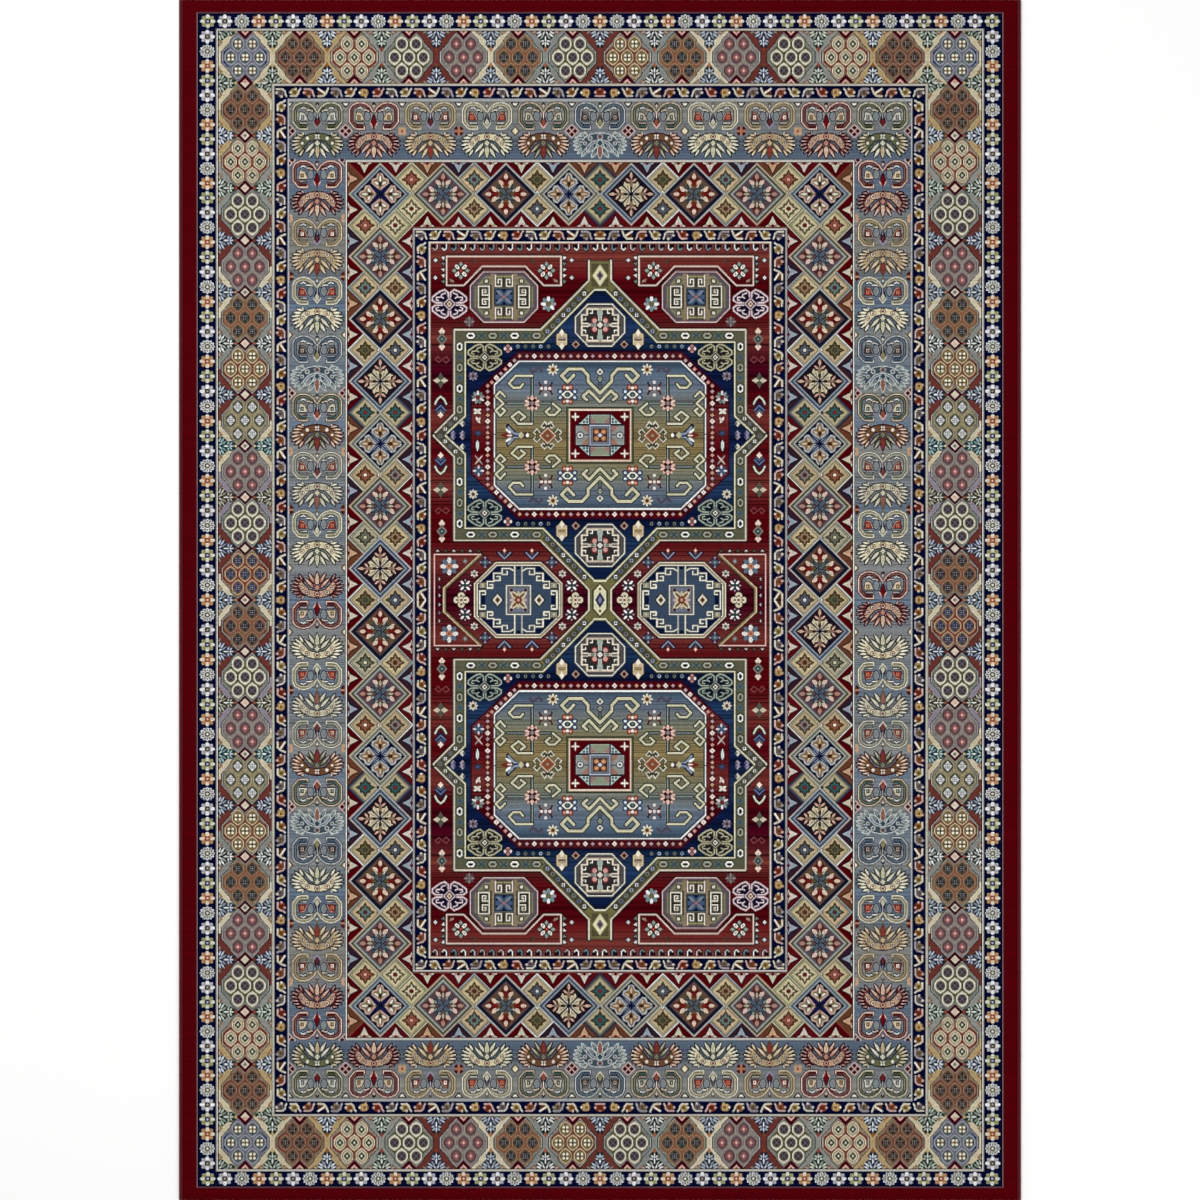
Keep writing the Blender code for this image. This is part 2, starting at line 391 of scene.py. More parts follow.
def medallion(pen, kind):
    (pale, dark), lattice, rim, body, mark, tint, wedge = MEDALLIONS[kind]
    pen.poly(lozenge(0), INK)
    for inset, colour in ((0.7, pale), (1.9, dark), (2.7, pale), (3.6, dark), (4.2, lattice)):
        pen.poly(lozenge(inset), colour)
    for side in pen.both():
        side.poly([(21.0, 0), (19.6, 5.5), (14.5, 11.5), (21.5, 5.2), (21.5, -5.2), (14.5, -11.5),
                   (19.6, -5.5)], wedge)
    for x, y in ((-7.2, 13.4), (7.2, 13.4), (-14.4, 0), (0, 0), (14.4, 0), (-7.2, -13.4), (7.2, -13.4)):
        spot = pen.at(x, y, sx=0.98)
        for wide, high, shoulder, colour in ((7.2, 9.4, 3.0, dark), (6.8, 8.9, 2.8, lattice)):
            spot.poly([(0, high), (wide, shoulder), (wide, -shoulder), (0, -high), (-wide, -shoulder),
                       (-wide, shoulder)], colour)
        cell(spot, rim, body, mark, tint)


def notch(pen):
    """The chevron in a medallion's top notch; y runs toward the middle of the band."""
    for half, high, colour in ((8.6, 9.0, WINE), (4.4, 4.6, PINK), (2.2, 2.4, (150, 100, 60))):
        pen.poly([(-half, 0), (0, high), (half, 0)], colour)


def knot_diamond(pen, heart):
    pen.diamonds(0, 0, ((8.2, 8.2, WINE), (4.4, 4.4, CREAM), (2.2, 2.2, heart)))


# ground, corner flecks, spray leaves, spray shade, tip
SPRAYS = (
    ((206, 192, 156), (150, 108, 74), (176, 190, 168), (58, 78, 62), (196, 168, 110)),
    ((190, 160, 108), (150, 104, 60), (206, 214, 222), (60, 80, 108), (150, 90, 50)),
    ((150, 152, 144), (140, 96, 80), (196, 206, 186), (60, 84, 66), (150, 66, 48)),
    ((110, 52, 45), (96, 60, 48), (176, 188, 204), (54, 66, 90), (120, 60, 40)),
    ((208, 196, 164), (150, 120, 90), (168, 182, 194), (70, 84, 100), (186, 120, 80)),
    ((142, 146, 140), (130, 96, 80), (222, 222, 214), (40, 62, 54), (172, 92, 64)),
    ((112, 54, 46), (96, 60, 48), (180, 192, 206), (54, 66, 84), (120, 60, 40)),
    ((206, 192, 158), (150, 104, 70), (150, 190, 186), (44, 78, 80), (206, 176, 130)),
    ((150, 142, 156), (120, 80, 70), (170, 184, 150), (84, 62, 50), (150, 80, 50)),
)
CREAM_GREEN, GOLD_BLUE, GREY_GREEN, BRICK_BLUE, CREAM_BLUE = range(5)
GREY_DARK, BRICK_PALE, CREAM_TEAL, LILAC_GREEN = range(5, 9)


def spray(pen, kind):
    """A leaf spray rooted on the band's edge; y runs toward the middle of the band."""
    _, fleck_and_tuft_shade, leaf, shade, tip = SPRAYS[kind]
    dark = mix(shade, INK, 0.45)
    pale = mix(leaf, WHITE, 0.3)
    for side in pen.both():
        side.poly([(7.0, 0), (16.5, 0), (11.0, 4.5)], fleck_and_tuft_shade)
        side.leaf(9.4, 0.4, 13.6, 2.2, 1.6, mix(leaf, fleck_and_tuft_shade, 0.4))
        side.poly([(0, 0), (8.6, 0), (9.4, 4.6), (4.6, 9.4), (5.2, 13.5), (0, 20.2)], dark)
    for side in pen.both():
        side.leaf(3.8, 0.6, 9.6, 2.6, 1.9, leaf)
        side.leaf(3.0, 2.2, 9.0, 6.2, 2.1, leaf)
        side.leaf(1.2, 2.8, 5.2, 8.4, 2.1, mix(leaf, shade, 0.35))
        side.leaf(0.4, 0.4, 3.0, 3.6, 1.6, pale)
        side.leaf(1.0, 9.2, 5.2, 10.8, 1.7, leaf)
        side.leaf(0.6, 11.0, 4.2, 14.0, 1.7, leaf)
    pen.leaf(0, 4.8, 0, 10.8, 1.9, WHITE)
    pen.leaf(0, 10.6, 0, 15.8, 1.9, pale)
    pen.diamond(0, 18.0, 2.1, 3.0, tip)


LATTICES = (
    # frame lines from the outside in, ground, petal rim, petal body, petal heart, bar
    (((172, 172, 150), (88, 104, 120), (146, 160, 170), INK), NIGHT, (206, 160, 146), (140, 124, 84), WHITE,
     (34, 40, 88)),
    (((190, 170, 146), (78, 82, 62), (166, 172, 162), (104, 112, 124)), (92, 72, 76), (128, 62, 52),
     (218, 186, 170),
     (164, 176, 142), (92, 112, 134)),
    (((176, 178, 172), SLATE, (140, 152, 162), INK), (38, 22, 34), (206, 190, 148), (212, 162, 132),
     (140, 112, 92), NAVY),
    (((176, 178, 172), NIGHT, NIGHT, (88, 62, 66)), (98, 78, 56), (126, 36, 26), (218, 190, 164),
     (128, 26, 20), (92, 108, 116)),
    (((186, 180, 154), (112, 116, 110), (172, 172, 158), INK), (12, 18, 52), (170, 180, 190),
     (150, 110, 70),
     (206, 186, 160), (140, 154, 172)),
)
BUDS_ON_NIGHT, CURLS_ON_MAUVE, LEAVES_ON_PLUM, CURLS_ON_OLIVE, BUDS_ON_NAVY = range(5)
BUD_RIM = ((0, 3.5), (4.8, 7.5), (9.2, 11.0), (8.2, 15), (4.0, 16.5), (2.8, 20.2), (0, 21.8))
BUD_BODY = ((0, 5.8), (3.6, 9.0), (7.4, 11.6), (6.2, 13.8), (2.8, 15.2), (1.6, 19), (0, 20.0))


def petal_cross(pen, kind):
    """The cross of four flowers in a big diamond, with four arms between them."""
    _, _, rim, body, heart, bar = LATTICES[kind]
    budded = kind in (BUDS_ON_NIGHT, BUDS_ON_NAVY)
    leafy = kind == LEAVES_ON_PLUM
    for turn in (45, 135, 225, 315):
        arm = pen.at(0, 0, turn=turn)
        if budded:
            arm.leaf(0, 0, 0, 14.6, 3.8, bar)
        elif leafy:
            for side in arm.both():
                side.poly([(0.4, 1.0), (3.2, 5.0), (6.6, 7.6), (4.4, 11.0), (4.6, 13.6), (0.8, 12.2)], rim,
                          edge=INK, width=0.6)
                side.line([(1.9, 5.0), (3.0, 9.0)], 0.7, (128, 118, 96))
        else:
            for side in arm.both():
                side.line([(0.9, 0.6), (1.2, 7.4), (3.4, 11.4), (6.4, 11.6)], 1.2, bar, edge=INK, rim=0.7)
            arm.line([(0, 0), (0, 13.0)], 0.9, mix(bar, INK, 0.4))
        if budded or leafy:
            arm.line([(0, 0), (0, 15.5)], 1.1, NAVY)
    for turn in (0, 90, 180, 270):
        arm = pen.at(0, 0, turn=turn)
        if budded:
            for side in arm.both():
                side.poly(BUD_RIM, rim, edge=INK, width=0.6)
            for side in arm.both():
                side.poly(BUD_BODY, body)
                side.leaf(1.0, 9.6, 6.4, 12.6, 2.2, heart)
            arm.poly([(0, 7), (2.2, 10.6), (0, 13), (-2.2, 10.6)], UMBER)
            arm.leaf(0, 12.0, 0, 18.8, 2.2, heart)
        elif leafy:
            arm.leaf(0, 7.0, 0, 16.0, 3.6, heart)
            for side in arm.both():
                side.leaf(1.0, 12.0, 5.6, 15.8, 2.5, body)
            arm.leaf(0, 15.2, 0, 22.6, 3.2, body)
        else:
            for side in arm.both():
                side.poly([(0, 8.6), (5.4, 10.0), (8.8, 13.6), (4.6, 15.6), (3.0, 19.2), (0, 21.6)],
                          mix(rim, INK, 0.35))
            for side in arm.both():
                side.leaf(2.2, 9.2, 7.8, 14.2, 4.4, body)
                side.leaf(2.2, 6.0, 5.4, 9.8, 1.4, heart if kind == CURLS_ON_MAUVE else body)
            arm.leaf(0, 14.2, 0, 21.0, 4.4, body if kind == CURLS_ON_OLIVE else mix(body, rim, 0.4))
            arm.leaf(0, 7.4, 0, 13.6, 2.9, heart)


def big_diamond(pen, kind):
    """A diamond of the lattice border: its frame lines, its ground and its cross."""
    frame_lines, ground = LATTICES[kind][:2]
    reach = 31.6
    for inset, colour in zip((0, 2.2, 5.0, 7.0, 8.6), (*frame_lines, ground)):
        pen.diamond(0, 0, reach - inset, reach - inset, colour)
    petal_cross(pen, kind)


# outer line, ground, star, star heart
SMALLS = (
    ((200, 198, 160), (202, 184, 136), (158, 84, 66), (226, 160, 150)),
    ((200, 198, 160), (202, 190, 142), (210, 202, 160), (110, 24, 24)),
    ((162, 172, 182), (206, 176, 132), (104, 130, 128), (90, 40, 40)),
    ((162, 172, 182), (206, 184, 136), (150, 124, 88), (90, 40, 40)),
    ((240, 238, 232), (196, 172, 128), (96, 92, 60), (60, 76, 70)),
    ((240, 238, 232), (196, 172, 128), (80, 92, 110), (206, 206, 196)),
    ((50, 60, 100), (186, 170, 132), (44, 96, 100), (150, 30, 30)),
    ((226, 220, 208), (190, 168, 124), (150, 84, 56), IVORY),
    ((226, 220, 208), (190, 168, 124), (130, 128, 124), (90, 40, 40)),
    ((190, 190, 176), (178, 172, 140), (104, 116, 96), (206, 196, 150)),
)
# The pair of small diamonds at each crossing, from the corner inwards.
PAIRS = ((0, 1), (2, 3), (4, 5), (6, 6), (7, 8), (9, 3), (4, 5), (6, 6))
STAR = ((0, 9.4), (2.3, 5.2), (4.8, 4.8), (5.2, 2.3), (9.4, 0))
STAR_HEART = ((0, 7.2), (1.5, 3.6), (3.3, 3.3), (3.6, 1.5), (7.2, 0))


def small_diamond(pen, kind):
    """A small diamond with a star, one of the pair at each crossing of the lattice."""
    line, ground, tone, heart = SMALLS[kind]
    rings = ((19.0, INK), (18.3, line), (16.6, mix(MOSS, line, 0.2)), (15.2, mix(line, ground, 0.6)),
             (14.2, mix(MOSS, ground, 0.4)), (13.2, ground))
    pen.diamonds(0, 0, [(reach, reach, colour) for reach, colour in rings])
    for spot in pen.four():
        spot.poly(((0, 0),) + STAR, mix(tone, UMBER, 0.7), edge=mix(MOSS, UMBER, 0.5), width=0.4)
    for spot in pen.four():
        spot.poly(((0, 0),) + STAR_HEART, tone)
    pen.disc(0, 0, 2.5, mix(tone, UMBER, 0.6))
    pen.disc(0, 0, 1.7, heart)


# ground and flower of the half diamonds along the lattice's edges
TRIANGLES = (((104, 60, 40), (206, 160, 120)), (CLARET, (200, 194, 166)), ((50, 30, 44), (150, 168, 184)),
             ((92, 14, 20), (206, 196, 182)))


def edge_triangle(pen, kind):
    """Half a diamond on the band's edge with a trefoil; y runs toward the middle."""
    ground, flower = TRIANGLES[kind % len(TRIANGLES)]
    pen.poly([(-15.5, 0), (0, 15.5), (15.5, 0)], ground)
    dark = mix(ground, INK, 0.6)
    for side in pen.both():
        side.poly([(0, 0), (9.6, 0.4), (5.0, 3.0), (3.6, 6.0), (0, 12.2)], dark)
    for side in pen.both():
        side.poly([(0, 0), (8.0, 0.2), (4.2, 2.2), (2.6, 5.2), (0, 10.4)], flower)
        side.leaf(1.2, 1.2, 4.6, 1.0, 1.4, mix(flower, ground, 0.5))
    pen.disc(0, 0.6, 1.7, (100, 16, 20))


# the palmettes' colours, by the part that they dye
PALMETTES = (
    dict(line=(186, 182, 146), band=MOSS, flower=(206, 204, 186), core=(70, 84, 84), tear=(120, 26, 26),
         v=(150, 150, 150),
         arm=(104, 106, 72), leaf=(186, 166, 122), edge=(48, 52, 44), petal=(206, 200, 176),
         bud=(196, 170, 130), dot=WHITE),
    dict(line=(206, 160, 142), band=(92, 34, 30), flower=(206, 190, 146), core=(104, 70, 48),
         tear=(110, 14, 18), v=PINK,
         arm=(200, 158, 126), leaf=(104, 36, 40), edge=(50, 20, 28), petal=(196, 132, 108),
         bud=(212, 180, 146), dot=(96, 50, 36)),
    dict(line=(196, 176, 134), band=(150, 130, 92), flower=(120, 50, 46), core=IVORY, tear=(98, 40, 42),
         v=LILAC,
         arm=(186, 160, 118), leaf=(200, 168, 120), edge=(78, 66, 60), petal=(206, 174, 124),
         bud=(140, 54, 46), dot=(70, 60, 70)),
    dict(line=(206, 200, 176), band=(176, 168, 130), flower=(146, 48, 38), core=(196, 120, 84),
         tear=(196, 190, 156), v=CREAM,
         arm=(216, 202, 158), leaf=(216, 208, 172), edge=(62, 66, 62), petal=(200, 198, 166),
         bud=(196, 192, 156), dot=(150, 60, 44)),
    dict(line=(196, 150, 108), band=(62, 84, 74), flower=(196, 188, 160), core=(44, 66, 62),
         tear=(150, 74, 52), v=PINK,
         arm=(112, 76, 46), leaf=(206, 156, 116), edge=(76, 34, 40), petal=(112, 124, 92),
         bud=(128, 52, 42), dot=WHITE),
    dict(line=(156, 164, 164), band=(66, 86, 108), flower=(62, 54, 58), core=(176, 150, 124),
         tear=(150, 142, 96), v=CREAM,
         arm=(66, 80, 92), leaf=(72, 88, 98), edge=(186, 194, 190), petal=(58, 76, 90), bud=(150, 96, 78),
         dot=(60, 66, 84)),
    dict(line=(186, 184, 170), band=(150, 148, 130), flower=(138, 64, 50), core=(196, 172, 144),
         tear=(120, 60, 50), v=CREAM,
         arm=(196, 186, 156), leaf=(190, 182, 158), edge=(76, 78, 76), petal=(198, 190, 160),
         bud=(150, 96, 76), dot=(110, 60, 44)),
)
GREEN_FAN, CLARET_FAN, TAN_FAN, CREAM_FAN, TERRA_FAN, WHITE_FAN, ASH_FAN = range(7)
SCROLL = ((0.8, 19.0), (3.6, 23.6), (8.0, 27.0), (12.4, 28.2), (17.0, 28.0), (22.2, 25.2), (24.4, 20.8),
          (24.4, 8.8),
          (19.2, 2.4), (15.8, 1.6), (9.4, 1.6), (9.4, 4.2))
SCROLL_BAND = ((3.6, 20.0), (6.2, 23.2), (10.2, 25.6), (16.6, 25.6), (20.4, 23.4), (22.0, 20.2),
               (22.0, 9.8),
               (18.0, 4.6), (11.0, 4.2))
LEAF_TIPS = ((13.0, -4.8, 20.4, -3.6), (15.0, -7.0, 24.2, -7.0), (16.2, -9.6, 25.8, -10.8),
             (16.8, -12.2, 26.0, -14.8),
             (16.4, -14.8, 24.8, -18.8), (15.4, -17.0, 22.2, -22.4), (13.6, -18.4, 18.0, -25.4))
WING = ((0, -2.4), (8.6, -3.8), (14.6, -7.2), (18.6, -13.0), (17.2, -20.6), (13.2, -15.4), (8.2, -10.2),
        (0, -8.2))


def scroll(side, c):
    """Half of a palmette's head: two nested scrolls and what they hold."""
    side.line(SCROLL, 2.7, mix(c["band"], INK, 0.4))
    side.line(SCROLL_BAND, 3.1, mix(c["band"], INK, 0.6))
    side.line(SCROLL, 1.4, mix(c["line"], IVORY, 0.35))
    side.line(SCROLL_BAND, 2.0, c["band"])
    side.line(SCROLL_BAND[1:-1], 0.7, mix(c["band"], c["line"], 0.55))
    side.line([(10.4, 7.6), (17.2, 7.8)], 1.2, mix(c["line"], STEEL, 0.2), edge=INK, rim=0.5)
    side.disc(6.6, 14.4, 3.0, (134, 142, 146), ry=4.6, edge=NIGHT, width=0.6)
    side.poly([(9.4, 10.4), (12.4, 17.6), (17.2, 19.0), (18.6, 10.4)], c["flower"], edge=INK, width=0.5)
    side.line([(9.8, 10.8), (12.8, 17.2), (16.6, 18.2)], 1.0, mix(c["line"], c["flower"], 0.3))
    side.box(13.2, 11.6, 16.6, 15.4, c["core"])
    side.box(14.4, 12.8, 15.8, 14.2, c["flower"])
    side.line([(5.0, 19.8), (8.2, 20.8), (10.6, 20.6)], 1.4, mix(c["line"], IVORY, 0.4), edge=INK, rim=0.5)
    side.line([(11.4, 22.0), (13.6, 23.4), (16.2, 22.2)], 1.4, (214, 216, 210), edge=INK, rim=0.5)


def fan(side, c):
    """Half of the leaves that spread below a palmette's head."""
    bright = mix(c["leaf"], IVORY, 0.72)
    pale_edge = c["edge"][0] > 150
    edge = c["edge"] if pale_edge else mix(c["edge"], INK, 0.35)
    for x, y, tip_x, tip_y in LEAF_TIPS:
        side.leaf(x, y, tip_x, tip_y, 2.4, edge, edge=edge, rim=1.1)
    side.poly(WING, c["arm"], edge=edge, width=1.1)
    for x, y, tip_x, tip_y in LEAF_TIPS:
        side.leaf(x, y, tip_x, tip_y, 2.3, c["leaf"])
        side.line([(x * 0.6 + tip_x * 0.4, y * 0.6 + tip_y * 0.4), (tip_x * 0.97, tip_y * 0.97)], 0.9,
                  bright)
    for x, y, size in ((9.8, -7.6, 2.1), (15.0, -12.4, 1.7)):
        side.disc(x, y, size, mix(c["arm"], IVORY, 0.7), edge=edge, width=0.4)
        side.disc(x, y, size * 0.5, c["dot"])
    side.leaf(13.4, -4.0, 15.4, -1.0, 1.7, bright, edge=edge, rim=0.5)
    for x, y, tip_x, tip_y in ((3.2, -12.0, 11.8, -21.4), (2.6, -17.0, 8.2, -26.4)):
        side.leaf(x, y, tip_x, tip_y, 3.3, c["petal"], edge=edge, rim=1.1)
        side.line([(x * 0.6 + tip_x * 0.4, y * 0.6 + tip_y * 0.4), (tip_x, tip_y)], 1.0,
                  mix(c["petal"], IVORY, 0.7))


def palmette(pen, kind):
    c = PALMETTES[kind]
    for side in pen.both():
        fan(side, c)
        scroll(side, c)
    pen.poly([(0, 19.5), (2.6, 11.5), (3.4, 7.4), (0, 2.0), (-3.4, 7.4), (-2.6, 11.5)], NIGHT)
    pen.line([(-3.4, 7.4), (0, 2.6), (3.4, 7.4)], 1.4, c["v"])
    pen.line([(0, 19.0), (0, 11.0)], 0.9, c["v"])
    pen.diamond(0, 8.4, 2.5, 8.0 if kind == CLARET_FAN else 4.4, c["tear"])
    pen.leaf(0, -13.0, 0, -28.0, 4.4, c["bud"], edge=c["edge"], rim=0.9)
    pen.diamond(0, -12.4, 2.8, 3.2, c["petal"], edge=c["edge"], width=0.7)
    pen.disc(0, -5.8, 2.4, mix(c["arm"], CREAM, 0.3), edge=c["edge"], width=0.6)
    if kind in (GREEN_FAN, TERRA_FAN):
        for spot in pen.at(0, -6.0).four():
            spot.box(0.5, 0.5, 2.1, 2.1, WHITE)
    else:
        pen.disc(0, -5.8, 1.3, (142, 50, 40))
    pen.diamond(0, 26.6, 2.4, 2.4, mix(c["band"], INK, 0.4))
    pen.diamond(0, 24.8, 1.2, 1.8, c["v"])


PINK_CROSS, FOUR_DISCS, RED_CROSS, CREAM_DIAMOND = range(4)


def filler(pen, kind):
    """The small figure between two palmettes."""
    if kind == PINK_CROSS:
        pen.diamond(0, 0, 6.8, 6.8, PINK, edge=(206, 180, 176), width=0.4)
        for x, y in ((0, 3.3), (3.3, 0), (0, -3.3), (-3.3, 0)):
            pen.diamond(x, y, 2.6, 2.6, (58, 26, 34))
    elif kind == FOUR_DISCS:
        for spot in pen.four():
            spot.disc(1.7, 1.7, 2.5, (206, 160, 120))
        pen.disc(0, 0, 1.2, RUST)
    elif kind == RED_CROSS:
        for spot in pen.four():
            spot.diamond(2.2, 2.2, 2.9, 2.9, (72, 30, 30))
        pen.boxes(((4.6, 1.1, (190, 116, 88)), (1.1, 4.6, (190, 116, 88))))
    else:
        pen.diamonds(0, 0, ((4.8, 5.2, (92, 70, 44)), (3.0, 3.6, (232, 218, 180))))


# ---------------------------------------------------------------- bands round the field

# Each band's reach from the middle of the rug, across and along, from the rim inwards.
BANDS = (
    (403.2, 587.4, (110, 80, 84)), (402.0, 586.2, INK), (401.2, 585.6, NAVY), (383.9, 571.2, (84, 84, 86)),
    (383.3, 570.6, (196, 190, 172)), (382.0, 568.9, INK), (381.5, 568.6, (150, 150, 142)),
    (327.6, 516.0, (150, 144, 124)), (327.2, 515.4, (196, 190, 172)), (325.4, 513.6, INK),
    (325.0, 513.2, NAVY),
    (312.6, 501.2, (92, 96, 102)), (312.0, 500.6, (172, 174, 176)),
)
INNER_BANDS = (
    (254.9, 440.2, (70, 78, 84)), (254.4, 439.8, (206, 204, 196)), (252.9, 437.8, MOSS),
    (252.4, 437.2, (120, 60, 50)),
)
GUARD_BANDS = (
    (187.0, 371.8, (70, 78, 84)), (186.6, 371.4, (196, 196, 188)), (185.4, 369.6, INK),
    (185.0, 369.4, NAVY),
)
FIELD_BANDS = ((171.6, 358.4, (80, 80, 80)), (171.2, 358.0, (206, 200, 184)), (169.2, 356.0, (60, 40, 40)))
MEDALLION_ORDER = (SLATE_CELLS, TERRA_CELLS, BRICK_CELLS, IVORY_CELLS, MAUVE_CELLS, ORANGE_CELLS)
SIDE_ORDER = MEDALLION_ORDER + (TAN_CELLS, SAND_CELLS, MAUVE_CELLS, IVORY_CELLS)
TOP_JOINS = (CREAM_GREEN, GOLD_BLUE, GREY_GREEN, BRICK_BLUE, CREAM_BLUE, GREY_DARK, BRICK_PALE)
SIDE_JOINS = TOP_JOINS[:6] + (BRICK_PALE, CREAM_TEAL, LILAC_GREEN, BRICK_BLUE, CREAM_BLUE)

# Places and pitches of the repeating figures, in knots from the rug's middle. A band's run along the rug's
# end has X as its pitch and a fixed Y; its run along the side has Y as its pitch and a fixed X.
OUTER_PITCH = 54.55
OUTER_X, OUTER_Y = 354.7, 542.2
OUTER_EDGE, INNER_EDGE = 568.4, 516.2
SIDE_EDGE, SIDE_INNER_EDGE = 381.4, 328
ROSETTE_PITCH_X, ROSETTE_PITCH_Y, ROSETTE_PITCH_Y_FAR = 17.04, 14.9, 14.64
HOOK_PITCH_X, HOOK_PITCH_Y = 13.85, 13.34
GUARD_PITCH_X, GUARD_PITCH_Y = 13.73, 13.3
PALMETTE_X, PALMETTE_Y = 282.7, 468.8
PALMETTE_PITCH_X, PALMETTE_PITCH_Y = 56.5, 58.25
LATTICE_X, LATTICE_Y = 219.6, 405.5
LATTICE_PITCH_X, LATTICE_PITCH_Y = 62.8, 62.35


def nest(pen, bands):
    """Plain bands, each painted over the middle of the one before."""
    for x, y, colour in bands:
        pen.box(0, 0, x, y, colour)


def outer_places():
    """The outer border's medallions, from the corner inwards along the end and the side."""
    xs = [OUTER_PITCH * (6.5 - k) for k in range(7)]
    ys = [542.5 - 52.35 * k for k in range(5)]
    ys += [ys[-1] - 51.2 * k for k in range(1, 7)]
    return xs, ys


def outer_border(cloth, pen, turned):
    """The widest border: medallions, with a pair of leaf sprays between each two."""
    xs, ys = outer_places()
    end_order = MEDALLION_ORDER + ((TAN_CELLS,) if turned else (IVORY_CELLS,))
    side_order = SIDE_ORDER + ((UMBER_CELLS,) if turned else (RED_CELLS,))
    cloth.limit = (0, INNER_EDGE, SIDE_EDGE, OUTER_EDGE)
    for x, kind in zip(xs, TOP_JOINS):
        pen.box(x - OUTER_PITCH, 516, x, 568.6, SPRAYS[kind][0])
    for x, kind in zip(xs, TOP_JOINS):
        for edge, flip in ((OUTER_EDGE, -1), (INNER_EDGE, 1)):
            spray(pen.at(x - OUTER_PITCH / 2, edge, sy=flip), kind)
    pen.box(xs[0], 516, 381.5, 568.6, SPRAYS[CREAM_GREEN][0])
    for y in (OUTER_EDGE, 516.6):
        spray(pen.at(SIDE_EDGE, y, turn=90), CREAM_GREEN)
    for x, kind in zip(xs, end_order):
        medallion(pen.at(x, OUTER_Y), kind)
        notch(pen.at(x, 568.6, sy=-1))
        notch(pen.at(x, INNER_EDGE))
    cloth.limit = (SIDE_INNER_EDGE, 0, SIDE_EDGE, 517)
    gaps = list(zip(ys, [*ys[1:], -ys[-1]], SIDE_JOINS))
    for above, below, kind in gaps:
        pen.box(SIDE_INNER_EDGE, below, 381.5, above, SPRAYS[kind][0])
    hearts = (CREAM, GREY, PINK)
    for k, (above, below, kind) in enumerate(gaps):
        middle = (above + below) / 2
        for edge, turn in ((SIDE_EDGE, 90), (SIDE_INNER_EDGE, -90)):
            spray(pen.at(edge, middle, turn=turn), kind)
        knot_diamond(pen.at(OUTER_X, middle), hearts[k % 3])
    for y, kind in zip(ys[1:], side_order[1:]):
        medallion(pen.at(OUTER_X, y), kind)


def guards(cloth, pen):
    """The row of rosettes outside the medallions, and the row of hooks inside them."""
    kinds = tuple(ROSETTES)
    cloth.limit = (0, 571.4, 401.2, 585.4)
    for k in range(24):
        rosette(pen.at(ROSETTE_PITCH_X * k, 578.2), kinds[k % 4])
    cloth.limit = (384.2, 0, 401.0, 572)
    for j in range(39):
        y = ROSETTE_PITCH_Y * min(j, 25) + ROSETTE_PITCH_Y_FAR * max(j - 25, 0)
        rosette(pen.at(392.4, y), kinds[j % 4])
    cloth.limit = (0, 0, 325.0, 513.2)
    for k in range(24):
        hook(pen.at(HOOK_PITCH_X * k, 507, sx=-1), k - 1)
    for j in range(38):
        hook(pen.at(318.6, HOOK_PITCH_Y * j, turn=90), j)


def palmettes(cloth, pen, turned):
    """The border of palmettes on a blue-grey ground."""
    cloth.limit = (0, 0, 310.8, 498.4)
    blue, pewter, shadow = (104, 122, 144), (141, 141, 136), (86, 103, 122)
    stops = ((0, blue), (42, pewter), (85, blue), (145, pewter), (172, blue), (206, pewter), (224, blue),
             (262, pewter), (280, blue), (320, blue), (332, pewter), (375, pewter), (400, blue),
             (436, blue),
             (450, shadow), (484, pewter))
    pen.box(0, 0, 310.8, 498.4, streaks(cloth, stops, 5, 0.05, 0.05, 0.12))
    top = (GREEN_FAN, CLARET_FAN, TAN_FAN, CREAM_FAN, TERRA_FAN, WHITE_FAN)
    side = (CLARET_FAN, TAN_FAN, CREAM_FAN, WHITE_FAN, TERRA_FAN, ASH_FAN, CREAM_FAN)
    between = (PINK_CROSS, CREAM_DIAMOND, RED_CROSS, FOUR_DISCS, PINK_CROSS, PINK_CROSS)
    for k, kind in enumerate(between):
        middle = PALMETTE_PITCH_X * k + 28.2
        filler(pen.at(middle, 468.5), kind)
        pen.poly([(middle - 3.2, 496.6), (middle, 493.2), (middle + 3.2, 496.6)], IVORY, edge=INK)
    for k, kind in enumerate(top):
        palmette(pen.at(PALMETTE_PITCH_X * (5 - k), PALMETTE_Y), kind)
    cloth.limit = (254, 0, 310.8, 440.5)
    for j in range(8):
        for away in (-1, 1):
            filler(pen.at(PALMETTE_X + 28.3 * away, PALMETTE_Y - PALMETTE_PITCH_Y * (j + 0.5)), j % 4)
    for j, kind in enumerate(side, 1):
        palmette(pen.at(PALMETTE_X, PALMETTE_Y - PALMETTE_PITCH_Y * j), kind)
    palmette(pen.at(PALMETTE_X, 0, sy=1 if turned else -1), CLARET_FAN)


